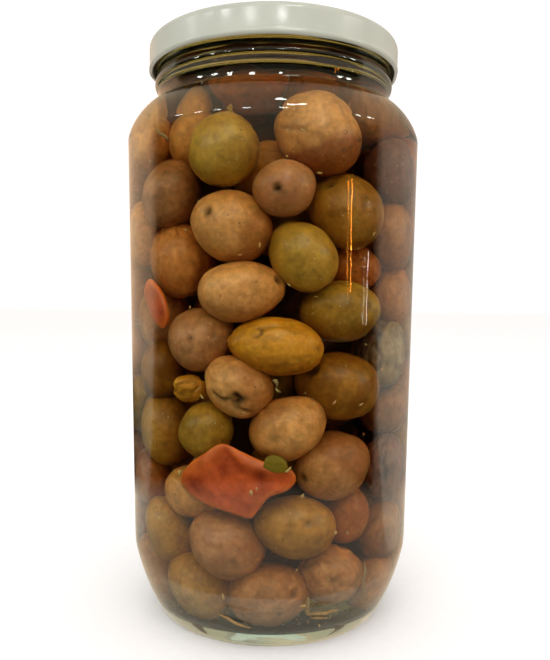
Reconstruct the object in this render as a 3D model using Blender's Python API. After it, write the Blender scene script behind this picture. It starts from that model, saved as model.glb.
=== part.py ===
"""A tall glass jar with a steel lid, packed with whole olives and two pieces of red pepper.

Metres, +Z up. The jar stands on Z = 0 with its axis on Z, and its front faces -Y.
Sizes below are in millimetres and degrees. An angle "round" the jar is counted from the front,
positive towards +X.
"""

import math
import random

import bmesh
import bpy
import numpy as np
from mathutils import Matrix, Vector

MM = 0.001

# Glass jar
BODY_RADIUS = 46.5
WALL = 2.8
FOOT_RADIUS = 37.0  # the outer edge of the ring that the jar stands on
FOOT_WIDTH = 2.5
PUSH_UP = 1.6  # how far the underside is domed up inside the foot
PUSH_UP_EDGE = 0.96  # its height where the dome turns down to the foot
PUSH_UP_SLOPE = 4.0  # how wide that turn is
FLOOR_MIDDLE = 6.2
FLOOR_EDGE = 5.0
FLOOR_CURVE = 6.0  # how far in from the foot's edge the floor begins to curve down
FLOOR_CURVE_HEIGHT = 5.3
HEEL_INSIDE = 2.5  # how much further in, and how much higher, the heel ends inside
HEEL_LIFT = 2.0
HEEL_HEIGHT = 25.0
HEEL_FULLNESS = 1.31  # 1 is a straight chamfer, 2 a quarter of an ellipse
SHOULDER_START = 154.0
SHOULDER_END = 165.7
SHOULDER_FULLNESS = 1.47
SHOULDER_START_INSIDE = 153.0
SHOULDER_END_INSIDE = 164.3
NECK_RADIUS = 36.8
NECK_WALL = 2.8
GROOVE_RADIUS = 36.6  # the groove between the shoulder and the bead
GROOVE_HEIGHT = 167.3
BEAD_HEIGHT = 171.6
BEAD_RADIUS = 37.9
BEAD_FLAT = 0.7  # half the height of the bead's edge
BEAD_REACH = 2.0  # half the height of the whole bead
FINISH_RADIUS = 36.9
RIM_HEIGHT = 182.9
RIM_ROUND = 0.9
JAR_SIDES = 44

# Lid
LID_TOP = 184.0
LID_RADIUS = 39.8
LID_BOTTOM = 175.2
LID_METAL = 0.6
LID_EDGE_ROUND = 2.0
LID_STEP = 0.3  # how far the skirt stands in from the curl
CURL_ROUND = 0.9
CURL_DEPTH = 0.9  # how far the curl reaches in
PANEL_RADIUS = 31.5
PANEL_DROP = 0.9
PANEL_SLOPE = 1.2  # how wide the step down to the panel is
LID_SIDES = 44

# Filling
WALL_GAP = 0.6  # between an olive's shape and the glass
FILL_TOP = 175.0
CORE_RADIUS = 32.0
CORE_BOTTOM = 9.0
CORE_TOP = 163.0
CORE_SIDES = 16
CORE_SHOULDER = 10.0  # how far below its top the core has its full radius
CORE_FOOT = 8.0
OLIVE_SIDES = 8
SHOWN_RINGS = 5
FILL_RINGS = 4
SETTLE_ROUNDS = 200
SETTLE_STEP = 0.3
SHOWN_YIELD = 0.1  # how much a placed olive gives way, against 1 for one that fills the rest
HOMING = 0.25  # the share of the way back to its place that a placed olive takes each round

# Each olive seen from the front: round, height, length, width, lean to the right, depth.
# The depth is how far it lies in from the place where it would touch the glass.
PLACED_OLIVES = (
    (-14, 163.0, 21.0, 13.0, -89, 16.0),
    (30, 162.0, 22.0, 14.0, 88, 17.0),
    (60, 160.0, 20.0, 17.0, 80, 0.0),
    (-66, 151.0, 20.0, 16.0, 5, 0.0),
    (-25, 146.0, 20.0, 19.2, 10, 0.0),
    (18, 146.5, 23.5, 20.5, -65, 1.0),
    (-47, 149.0, 18.0, 15.0, 10, 7.0),
    (-4, 143.0, 20.0, 17.0, 60, 13.0),
    (68, 142.0, 20.0, 18.0, 0, 0.0),
    (-53, 136.0, 20.0, 18.5, 22, 0.0),
    (5, 136.0, 16.5, 15.5, 70, 0.0),
    (36, 130.0, 22.5, 20.5, -60, 0.0),
    (-16, 125.5, 22.5, 20.0, -64, 0.0),
    (-74, 124.0, 20.0, 16.0, 0, 0.0),
    (67, 124.0, 21.0, 17.0, -3, 0.0),
    (13, 116.5, 21.0, 17.5, -35, 0.0),
    (-55, 114.0, 22.0, 20.0, -15, 0.0),
    (50, 114.0, 18.0, 15.0, 89, 8.0),
    (-14, 107.0, 23.5, 17.5, 84, 0.0),
    (68, 104.0, 19.0, 17.0, -2, 0.0),
    (34, 101.5, 23.0, 18.0, 84, 0.0),
    (-64, 99.0, 20.0, 17.0, 0, 3.0),
    (-34, 93.0, 19.5, 18.5, 60, 0.0),
    (2, 91.0, 25.5, 17.0, -82, 0.0),
    (59, 88.5, 22.0, 18.0, 10, 0.0),
    (-60, 83.5, 18.0, 15.5, 0, 0.0),
    (41, 81.0, 24.5, 20.5, -74, 0.0),
    (-36, 78.5, 11.0, 8.5, 88, 0.0),
    (-14, 75.4, 20.0, 17.0, -49, 0.0),
    (71, 71.0, 19.0, 17.0, 60, 0.0),
    (6, 69.3, 22.0, 18.5, 58, 0.0),
    (-27, 68.0, 17.5, 15.5, 28, 0.0),
    (-60, 64.5, 22.5, 18.5, -10, 0.0),
    (31, 55.0, 22.0, 21.0, 70, 0.0),
    (67, 52.5, 22.0, 17.0, -2, 0.0),
    (-38, 47.0, 18.5, 16.5, 87, 0.0),
    (-69, 47.0, 18.0, 16.0, 0, 0.0),
    (45, 39.0, 18.0, 14.5, 8, 5.0),
    (10, 36.6, 23.0, 19.0, -79, 0.0),
    (-56, 33.0, 21.5, 17.0, -21, 0.0),
    (62, 29.5, 20.0, 17.0, -2, 0.0),
    (-17, 28.8, 23.0, 20.0, -48, 0.0),
    (28, 20.5, 19.5, 17.5, -57, 0.0),
    (-38, 14.0, 21.5, 18.5, -40, 0.0),
    (0, 14.8, 23.0, 19.0, 84, 0.0),
    (62, 14.0, 18.0, 16.0, 37, 0.0),
)

# Rows of olives round the sides and the back, and in the middle of the jar
ROW_COUNT = 9
ROW_FIRST = 15.0
ROW_STEP = 18.2
SIDE_FROM = 84.0
SIDE_TO = 282.0
SIDE_COUNT = 6
MIDDLE_COUNT = 4
MIDDLE_RADIUS = 14.0
OLIVE_LENGTH = (19.5, 24.5)
OLIVE_SLIMNESS = (0.78, 0.92)
OLIVE_TAPER = 0.06  # how much slimmer an olive is at one end, and fuller at the other
SIDE_INSET = 10.0  # from the glass to the middle of an olive at the side
ANGLE_SPREAD = 4.0
HEIGHT_SPREAD = 2.5
LEAN_SPREAD = 85.0
TURN_SPREAD = 20.0
FILL_SEED = 11

# Red pepper: each outline goes clockwise from its left corner, as (round, height)
FRONT_PEPPER = (
    (-38, 51), (-34, 56), (-27, 60), (-19, 63.5), (-11, 61.5), (-3, 59),
    (6, 57.5), (10, 54), (7, 50.5), (0, 48.5), (-4, 45), (-7.5, 42),
    (-14, 43), (-25, 45), (-33, 47.5),
)
LEFT_PEPPER = (
    (-61, 107), (-56, 110.5), (-49, 107.5), (-45, 103), (-44, 99), (-47, 96),
    (-52, 97.5), (-57, 102),
)
PEPPER_DEPTH = 3.6
PEPPER_GAP = 0.5  # between the pepper and the glass
PEPPER_CLEAR = 0.5  # kept between the pepper and the olives behind it


def superellipse(fullness, steps):
    """Points from (1, 0) to (0, 1) on a corner curve of this fullness."""
    points = []
    for step in range(steps + 1):
        turn = math.pi / 2 * step / steps
        points.append((
            max(math.cos(turn), 0.0) ** (2 / fullness),
            max(math.sin(turn), 0.0) ** (2 / fullness),
        ))
    return points


def heel(foot, radius, bottom, top, steps):
    """The curve from the foot out and up to the straight side, as (radius, height)."""
    return [
        (foot + (radius - foot) * up, top - (top - bottom) * across)
        for across, up in superellipse(HEEL_FULLNESS, steps)
    ]


def shoulder(radius, neck, bottom, top, steps):
    """The curve from the straight side up and in to the neck, as (radius, height)."""
    return [
        (neck + (radius - neck) * across, bottom + (top - bottom) * up)
        for across, up in superellipse(SHOULDER_FULLNESS, steps)
    ]


def outer_profile(steps):
    """The outside of the glass from the middle of the base to the rim."""
    foot_inner = FOOT_RADIUS - FOOT_WIDTH
    points = [(0.0, PUSH_UP), (foot_inner - PUSH_UP_SLOPE, PUSH_UP_EDGE), (foot_inner, 0.0)]
    points += heel(FOOT_RADIUS, BODY_RADIUS, 0.0, HEEL_HEIGHT, steps)
    points += shoulder(BODY_RADIUS, NECK_RADIUS, SHOULDER_START, SHOULDER_END, steps)
    points += [
        (GROOVE_RADIUS, GROOVE_HEIGHT),
        (NECK_RADIUS, BEAD_HEIGHT - BEAD_REACH),
        (BEAD_RADIUS, BEAD_HEIGHT - BEAD_FLAT),
        (BEAD_RADIUS, BEAD_HEIGHT + BEAD_FLAT),
        (FINISH_RADIUS, BEAD_HEIGHT + BEAD_REACH),
        (FINISH_RADIUS, RIM_HEIGHT - RIM_ROUND),
        (FINISH_RADIUS - RIM_ROUND, RIM_HEIGHT),
    ]
    return points


def inner_profile(steps):
    """The inside of the glass from the middle of the floor to the rim."""
    radius = BODY_RADIUS - WALL
    neck = NECK_RADIUS - NECK_WALL
    foot = FOOT_RADIUS - HEEL_INSIDE
    points = [(0.0, FLOOR_MIDDLE), (FOOT_RADIUS - FLOOR_CURVE, FLOOR_CURVE_HEIGHT)]
    points += heel(foot, radius, FLOOR_EDGE, HEEL_HEIGHT + HEEL_LIFT, steps)
    points += shoulder(radius, neck, SHOULDER_START_INSIDE, SHOULDER_END_INSIDE, steps)
    points += [(neck, RIM_HEIGHT - RIM_ROUND), (neck + RIM_ROUND, RIM_HEIGHT)]
    return points


def resampled(points, spacing):
    """The same line with points no further apart than this spacing."""
    line = []
    for (r0, z0), (r1, z1) in zip(points, points[1:]):
        count = max(1, math.ceil(math.dist((r0, z0), (r1, z1)) / spacing))
        line += [(r0 + (r1 - r0) * k / count, z0 + (z1 - z0) * k / count) for k in range(count)]
    return np.array(line + [points[-1]])


class Olive:
    """One olive as a place, a direction along its length and its two sizes."""

    def __init__(self, place, along, length, width, yields):
        self.place = np.array(place, float)
        self.along = np.array(along, float) / np.linalg.norm(along)
        self.length = length
        self.width = width
        self.yields = yields


def on_wall(degrees, height, radius):
    turn = math.radians(degrees)
    return np.array((radius * math.sin(turn), -radius * math.cos(turn), height))


def placed_olives():
    """The olives seen from the front, whose length lies across the view."""
    olives = []
    for degrees, height, length, width, lean, depth in PLACED_OLIVES:
        tilt = math.radians(lean)
        along = (math.sin(tilt), 0.0, math.cos(tilt))
        radius = BODY_RADIUS - WALL - WALL_GAP - width / 2 - depth
        olives.append(Olive(on_wall(degrees, height, radius), along, length, width, SHOWN_YIELD))
    return olives


def filling_olives():
    """The olives round the sides and the back and in the middle, drawn from one seed."""
    draw = random.Random(FILL_SEED)
    olives = []
    for row in range(ROW_COUNT):
        height = ROW_FIRST + ROW_STEP * row
        shift = 0.5 * (row % 2)
        side_step = (SIDE_TO - SIDE_FROM) / SIDE_COUNT
        spots = [
            (SIDE_FROM + side_step * (k + shift), BODY_RADIUS - WALL - SIDE_INSET)
            for k in range(SIDE_COUNT)
        ]
        spots += [
            (360.0 / MIDDLE_COUNT * (k + shift), MIDDLE_RADIUS)
            for k in range(MIDDLE_COUNT)
        ]
        for degrees, radius in spots:
            degrees += draw.uniform(-ANGLE_SPREAD, ANGLE_SPREAD)
            length = draw.uniform(*OLIVE_LENGTH)
            width = length * draw.uniform(*OLIVE_SLIMNESS)
            lean = math.radians(draw.uniform(-LEAN_SPREAD, LEAN_SPREAD))
            turn = math.radians(degrees + draw.uniform(-TURN_SPREAD, TURN_SPREAD))
            lift = draw.uniform(-HEIGHT_SPREAD, HEIGHT_SPREAD)
            place = on_wall(degrees, height + lift, radius)
            along = (
                math.sin(lean) * math.cos(turn),
                math.sin(lean) * math.sin(turn),
                math.cos(lean),
            )
            olives.append(Olive(place, along, length, width, 1.0))
    return olives


def pepper_guards():
    """Small balls that fill the pepper pieces, which the olives are kept clear of."""
    balls = []
    radius = BODY_RADIUS - WALL - PEPPER_GAP - PEPPER_DEPTH / 2
    for outline in (FRONT_PEPPER, LEFT_PEPPER):
        middle = np.mean(outline, axis=0)
        for share in (0.0, 0.45, 0.85):
            for degrees, height in outline:
                spot = middle + share * (np.array((degrees, height)) - middle)
                balls.append(on_wall(spot[0], spot[1], radius))
    return np.array(balls)


def settle(olives, guards):
    """Moves the olives apart and inside the glass. Each counts as three balls in a row."""
    inside = resampled(inner_profile(10), 0.5)
    size = np.array([(olive.length / 2, olive.width / 2) for olive in olives])
    tip = size[:, 1] ** 2 / size[:, 0]
    balls = np.stack((tip, size[:, 1], tip), axis=1).reshape(-1)
    offset = np.stack((tip - size[:, 0], np.zeros(len(olives)), size[:, 0] - tip), axis=1)
    along = np.array([olive.along for olive in olives])
    rows = offset[:, :, None] * along[:, None, :]
    places = np.array([olive.place for olive in olives])
    homes = places.copy()
    homing = np.array([HOMING if olive.yields < 1 else 0.0 for olive in olives])[:, None]
    owner = np.repeat(np.arange(len(olives)), 3)
    apart = owner[:, None] != owner[None, :]
    yields = np.repeat([olive.yields for olive in olives], 3)
    share = yields[:, None] / (yields[:, None] + yields[None, :])
    guard_ball = PEPPER_DEPTH / 2 + PEPPER_CLEAR
    for _ in range(SETTLE_ROUNDS):
        places += homing * (homes - places)
        centres = (places[:, None, :] + rows).reshape(-1, 3)
        away, overlap = overlaps(centres, balls, centres, balls)
        pushes = away * (np.where(apart, overlap, 0) * share)[:, :, None]
        places += SETTLE_STEP * pushes.sum(axis=1).reshape(-1, 3, 3).sum(axis=1)
        centres = (places[:, None, :] + rows).reshape(-1, 3)
        away, overlap = overlaps(centres, balls, guards, np.full(len(guards), guard_ball))
        nearest = (np.arange(len(centres)), overlap.argmax(axis=1))
        places += largest(away[nearest] * overlap[nearest][:, None])
        centres = (places[:, None, :] + rows).reshape(-1, 3)
        places += largest(np.array([back_inside(*pair, inside) for pair in zip(centres, balls)]))
    for olive, place in zip(olives, places):
        olive.place = place


def overlaps(centres, balls, others, other_balls):
    """The direction from every other ball to each ball, and how deep the two overlap."""
    away = centres[:, None, :] - others[None, :, :]
    distance = np.linalg.norm(away, axis=2) + 1e-9
    deep = np.maximum(balls[:, None] + other_balls[None, :] - distance, 0)
    return away / distance[:, :, None], deep


def largest(moves):
    """For each olive, the largest of the moves that its three balls ask for."""
    moves = moves.reshape(-1, 3, 3)
    pick = np.linalg.norm(moves, axis=2).argmax(axis=1)
    return moves[np.arange(len(moves)), pick]


def back_inside(centre, ball, inside):
    """The move that brings a ball back inside the glass and under the top of the filling."""
    radius = math.hypot(centre[0], centre[1]) + 1e-9
    height = min(max(centre[2], FLOOR_MIDDLE + WALL_GAP + ball), FILL_TOP - ball)
    reach = (ball + WALL_GAP) ** 2 - (inside[:, 1] - height) ** 2
    near = (reach > 0) & (inside[:, 0] > radius / 2)
    room = (inside[near, 0] - np.sqrt(reach[near])).min() if near.any() else radius
    pull = min(room - radius, 0.0) / radius
    return np.array((centre[0] * pull, centre[1] * pull, height - centre[2]))


def material(name, color, roughness, metallic=0.0):
    made = bpy.data.materials.new(name)
    made.use_nodes = True
    shader = made.node_tree.nodes["Principled BSDF"]
    shader.inputs["Base Color"].default_value = (*color, 1.0)
    shader.inputs["Roughness"].default_value = roughness
    shader.inputs["Metallic"].default_value = metallic
    return made


def add_object(name, mesh, finish):
    made = bpy.data.objects.new(name, mesh)
    bpy.context.scene.collection.objects.link(made)
    if finish:
        mesh.materials.append(finish)
    return made


def turned(name, profile, sides, finish):
    """A profile in millimetres, turned round Z. It runs up the inside and down the outside."""
    mesh = bpy.data.meshes.new(name)
    points = [(radius * MM, 0.0, height * MM) for radius, height in profile]
    mesh.from_pydata(points, [(k, k + 1) for k in range(len(points) - 1)], [])
    made = add_object(name, mesh, finish)
    screw = made.modifiers.new("Turn", "SCREW")
    screw.steps = sides
    screw.render_steps = sides
    screw.use_merge_vertices = True
    screw.merge_threshold = 0.00001
    screw.use_smooth_shade = True
    return made


def make_jar():
    steps = 7
    profile = inner_profile(steps) + outer_profile(steps)[::-1]
    glass = material("clear_glass", (0.80, 0.84, 0.78), 0.03)
    return turned("glass_jar", profile, JAR_SIDES, glass)


def make_lid():
    """A pressed steel lid: a dropped panel, a raised ring, a round edge and a curled rim."""
    inner = LID_RADIUS - LID_METAL
    skirt = LID_RADIUS - LID_STEP
    curl_height = LID_BOTTOM + CURL_ROUND
    ring = LID_TOP - LID_METAL
    profile = [
        (0.0, ring - PANEL_DROP),
        (PANEL_RADIUS, ring - PANEL_DROP),
        (PANEL_RADIUS + PANEL_SLOPE, ring),
        (inner - LID_EDGE_ROUND, ring),
        (inner - LID_STEP, ring - LID_EDGE_ROUND + LID_STEP),
        (inner - LID_STEP, curl_height + CURL_ROUND),
        (inner - CURL_DEPTH, curl_height),
        (inner - CURL_DEPTH / 2, LID_BOTTOM + LID_STEP),
        (LID_RADIUS - CURL_ROUND, LID_BOTTOM),
        (LID_RADIUS - LID_STEP, LID_BOTTOM + LID_STEP),
        (LID_RADIUS, curl_height),
        (skirt, curl_height + CURL_ROUND),
        (skirt, LID_TOP - LID_EDGE_ROUND),
    ]
    for turn in (30, 60, 90):
        reach = math.radians(turn)
        profile.append((
            skirt - LID_EDGE_ROUND * (1 - math.cos(reach)),
            LID_TOP - LID_EDGE_ROUND * (1 - math.sin(reach)),
        ))
    profile += [
        (PANEL_RADIUS + LID_METAL + PANEL_SLOPE, LID_TOP),
        (PANEL_RADIUS + LID_METAL, LID_TOP - PANEL_DROP),
        (0.0, LID_TOP - PANEL_DROP),
    ]
    enamel = material("white_lacquer", (0.58, 0.60, 0.53), 0.35, 0.0)
    return turned("lid", profile[::-1], LID_SIDES, enamel)


def olive_mesh(olive):
    """An olive with few sides: a ball stretched along its length, a little pointed at one end."""
    made = bmesh.new()
    rings = SHOWN_RINGS if olive.yields < 1 else FILL_RINGS
    bmesh.ops.create_uvsphere(made, u_segments=OLIVE_SIDES, v_segments=rings, radius=1.0)
    for vertex in made.verts:
        point = vertex.co
        slim = 1.0 - OLIVE_TAPER * point.z * abs(point.z)
        vertex.co = Vector((
            point.x * slim * olive.width / 2,
            point.y * slim * olive.width / 2,
            point.z * olive.length / 2,
        ))
    turn = Vector((0, 0, 1)).rotation_difference(Vector(olive.along)).to_matrix().to_4x4()
    place = Matrix.Translation(Vector(olive.place))
    bmesh.ops.transform(made, matrix=Matrix.Scale(MM, 4) @ place @ turn, verts=made.verts)
    mesh = bpy.data.meshes.new("olive")
    made.to_mesh(mesh)
    made.free()
    return mesh


def shows(olive):
    """True for an olive that reaches out of the core."""
    far_out = math.hypot(olive.place[0], olive.place[1]) + olive.width / 2 > CORE_RADIUS + 1.0
    high = olive.place[2] + olive.width / 2 > CORE_TOP + 2.0
    low = olive.place[2] - olive.width / 2 < CORE_BOTTOM - 1.0
    return far_out or high or low


def make_olives(olives):
    """The heap: a core with every olive at its surface joined on by one union."""
    skin = material("olive_skin", (0.40, 0.24, 0.10), 0.35)
    core_profile = [
        (0.0, CORE_TOP),
        (CORE_RADIUS * 0.7, CORE_TOP - CORE_SHOULDER / 5),
        (CORE_RADIUS, CORE_TOP - CORE_SHOULDER),
        (CORE_RADIUS, CORE_BOTTOM + CORE_FOOT),
        (CORE_RADIUS * 0.75, CORE_BOTTOM),
        (0.0, CORE_BOTTOM),
    ]
    heap = turned("olives", core_profile, CORE_SIDES, skin)
    group = bpy.data.collections.new("olive_shapes")
    bpy.context.scene.collection.children.link(group)
    for olive in olives:
        if shows(olive):
            group.objects.link(bpy.data.objects.new("olive_shape", olive_mesh(olive)))
    union = heap.modifiers.new("Join", "BOOLEAN")
    union.operation = "UNION"
    union.operand_type = "COLLECTION"
    union.solver = "MANIFOLD"
    union.collection = group
    apply_modifiers(heap)
    for shape in list(group.objects):
        bpy.data.objects.remove(shape)
    bpy.data.collections.remove(group)
    keep_largest(heap.data)
    return heap


def apply_modifiers(made):
    """Replaces an object's mesh by the one that its modifiers make."""
    graph = bpy.context.evaluated_depsgraph_get()
    mesh = bpy.data.meshes.new_from_object(made.evaluated_get(graph))
    made.modifiers.clear()
    made.data = mesh


def keep_largest(mesh):
    """Drops every loose scrap and every sealed hollow, and keeps the largest closed body."""
    made = bmesh.new()
    made.from_mesh(mesh)
    left = set(made.verts)
    groups = []
    while left:
        group = {left.pop()}
        edge = list(group)
        while edge:
            vertex = edge.pop()
            for link in vertex.link_edges:
                other = link.other_vert(vertex)
                if other in left:
                    left.remove(other)
                    group.add(other)
                    edge.append(other)
        groups.append(group)
    groups.sort(key=len)
    loose = [vertex for group in groups[:-1] for vertex in group]
    bmesh.ops.delete(made, geom=loose, context="VERTS")
    made.to_mesh(mesh)
    made.free()


def make_pepper(name, outline, finish):
    """A flat piece of pepper pressed to the glass: two faces that meet along its outline."""
    front = BODY_RADIUS - WALL - PEPPER_GAP
    middle = np.mean(outline, axis=0)
    made = bmesh.new()
    rings = []
    for face, share in ((1, 0.55), (1, 0.9), (0, 1.0), (-1, 0.9), (-1, 0.55)):
        depth = PEPPER_DEPTH / 2 * (1 - face * math.sqrt(1 - share**4))
        ring = []
        for degrees, height in outline:
            spot = middle + share * (np.array((degrees, height)) - middle)
            ring.append(made.verts.new(Vector(on_wall(spot[0], spot[1], front - depth)) * MM))
        rings.append(ring)
    ends = [
        made.verts.new(Vector(on_wall(middle[0], middle[1], front)) * MM),
        made.verts.new(Vector(on_wall(middle[0], middle[1], front - PEPPER_DEPTH)) * MM),
    ]
    count = len(outline)
    for k in range(count):
        after = (k + 1) % count
        made.faces.new((ends[0], rings[0][k], rings[0][after]))
        made.faces.new((ends[1], rings[-1][after], rings[-1][k]))
        for near, far in zip(rings, rings[1:]):
            made.faces.new((near[k], far[k], far[after], near[after]))
    bmesh.ops.recalc_face_normals(made, faces=made.faces)
    mesh = bpy.data.meshes.new(name)
    made.to_mesh(mesh)
    made.free()
    mesh.shade_smooth()
    return add_object(name, mesh, finish)


def main():
    for old in list(bpy.data.objects):
        bpy.data.objects.remove(old)
    olives = placed_olives() + filling_olives()
    settle(olives, pepper_guards())
    make_jar()
    make_lid()
    make_olives(olives)
    flesh = material("red_pepper", (0.62, 0.11, 0.02), 0.35)
    make_pepper("red_pepper_front", FRONT_PEPPER, flesh)
    make_pepper("red_pepper_left", LEFT_PEPPER, flesh)


main()
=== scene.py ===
"""The looks of a tall jar of olives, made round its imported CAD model.

The glass, the brine, the lid, the olives by kind, the red pepper and the bits that lie in the
brine are each modelled here at their true size. Metres, +Z up, and the front faces -Y. An angle
"round" the jar is counted in degrees from the front, positive towards +X.
"""

import math
import random

import bmesh
import bpy
import numpy as np
from mathutils import Matrix, Vector, noise


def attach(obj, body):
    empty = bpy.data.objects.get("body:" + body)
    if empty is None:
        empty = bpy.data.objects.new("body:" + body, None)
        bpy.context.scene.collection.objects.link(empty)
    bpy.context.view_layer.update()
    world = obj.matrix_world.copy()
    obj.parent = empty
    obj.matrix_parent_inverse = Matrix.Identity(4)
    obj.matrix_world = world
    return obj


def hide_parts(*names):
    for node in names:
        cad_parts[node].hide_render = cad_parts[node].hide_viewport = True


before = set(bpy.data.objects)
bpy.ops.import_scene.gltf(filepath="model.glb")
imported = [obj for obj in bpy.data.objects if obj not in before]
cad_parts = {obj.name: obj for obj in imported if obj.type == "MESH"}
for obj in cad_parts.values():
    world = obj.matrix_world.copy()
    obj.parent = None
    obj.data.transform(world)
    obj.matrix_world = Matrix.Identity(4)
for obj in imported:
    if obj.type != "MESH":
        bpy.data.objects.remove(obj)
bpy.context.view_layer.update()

bl_info = {
    "name": "Jar of olives",
    "version": (1, 0, 0),
    "blender": (4, 5, 0),
    "location": "3D View > Sidebar > Olives",
    "description": "Models a glass jar of whole olives in brine, its lid and its stage",
    "category": "Add Mesh",
}

MM = 0.001
MERGE_DISTANCE = 0.004 * MM
SMOOTH_ANGLE = 50  # an edge sharper than this many degrees stays sharp
CORE_SMOOTH_ANGLE = 60

# How the olives are packed, as in the CAD model
WALL_GAP = 0.6 * MM  # between an olive's shape and the glass
FILL_TOP = 175.0 * MM
PACKED_STEPS = 10  # how finely the packing sees the inside of the glass
PACKED_SPACING = 0.5 * MM
SETTLE_ROUNDS = 200
SETTLE_STEP = 0.3
SHOWN_YIELD = 0.1  # how much a placed olive gives way, against 1 for one that fills the rest
HOMING = 0.25  # the share of the way back to its place that a placed olive takes each round
TAPER = 0.06  # how much slimmer an olive is at one end, and fuller at the other
CORE_RADIUS = 21.0 * MM
CORE_BOTTOM = 14.0 * MM
CORE_TOP = 158.0 * MM
CORE_EDGE = 0.8  # the share of its radius at which the core's ends turn over
CORE_DOME = 2.0 * MM
CORE_SHOULDER = 14.0 * MM  # how far below its top the core has its full radius
CORE_FOOT = 10.0 * MM
CORE_SIDES = 32
FLOOR_BAND = 1.0 * MM  # the inside below this height over the floor's middle counts as floor
MENISCUS_RISE = 0.5 * MM  # how far the brine climbs up the neck
MENISCUS = ((0.5 * MM, 0.15 * MM), (2.0 * MM, 0.0))  # how far in, and how high it still is

SIDE_INSET = 10.0  # from the glass to the middle of an olive at the side
ANGLE_SPREAD = 4.0
HEIGHT_SPREAD = 2.5
LEAN_SPREAD = 85.0
TURN_SPREAD = 20.0
TONE_SPREAD = (0.1, 0.9)
WRINKLE_SPREAD = (-0.6, 0.6)  # below 0 counts as smooth

# Small forms of the glass
SHOULDER_STEPS = 26
HEEL_CORNERS = 6  # the chords of the heel, and how often their corners are cut off
HEEL_ROUNDS = 3
HEEL_RUN = 14.0 * MM  # how far up the side the heel is eased
HEEL_INSIDE = 2.5 * MM  # how much further in, and how much higher, the heel ends inside
HEEL_LIFT = 2.0 * MM
SHOULDER_DROP = 1.0 * MM  # how much lower the shoulder begins and ends inside
NECK_DROP = 1.4 * MM
PUSH_UP_EDGE = 0.6  # the share of the push-up that is left where it turns down to the foot
PUSH_UP_SLOPE = 4.0 * MM
FOOT_ROUND = 0.3 * MM
FLOOR_CURVE = 6.0 * MM  # how far in from the foot's edge the floor begins to curve down
FLOOR_RISE = 0.3 * MM
GROOVE_DEPTH = 0.2 * MM  # the groove between the shoulder and the bead
GROOVE_RISE = 1.6 * MM
BEAD_FLAT = 0.9 * MM  # half the height of the bead's edge
BEAD_REACH = 2.0 * MM  # half the height of the whole bead
THREAD_RISE = (4.4 * MM, 5.2 * MM, 6.4 * MM)  # the thread's foot, ridge and top over the bead
THREAD_DEPTH = 0.6 * MM
RIM_OUTSIDE = (0.9 * MM, 1.0 * MM)  # how far in and down the rim is rounded
RIM_INSIDE = (0.8 * MM, 0.9 * MM)

# Small forms of the lid
SKIRT_STEP = 0.35 * MM  # how far the skirt stands in from the curl
SKIRT_INSET = 0.3 * MM  # the same inside
CURL_DEPTH = 0.9 * MM  # how far the curl reaches in, and its lip
CURL_LIP = 0.6 * MM
CURL_RISE = 0.2 * MM
PANEL_SLOPE = 1.2 * MM  # how wide the step down to the panel is inside
PANEL_STEP = (1.8 * MM, 0.6 * MM)  # where the step begins and ends outside
PANEL_FLAT = 8.0 * MM
PANEL_CROWN = ((12.0 * MM, 0.2 * MM), (0.0, 0.25 * MM))  # the panel's middle bulges up a little
LID_SIDES = 192
HEM_HEIGHT = 1.4 * MM  # how far over the curl the pressed hem ends, and how softly
HEM_FADE = 2.3 * MM
HEM_DEPTH = 2.0 * MM
LUG_TURN = 0.6
LUG_SHARPNESS = 4
HEM_LIFT = 0.35  # how far a lug lifts the hem, against how far it presses it in
HEM_RIPPLE = 0.4
HEM_RIPPLES = 11

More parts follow.
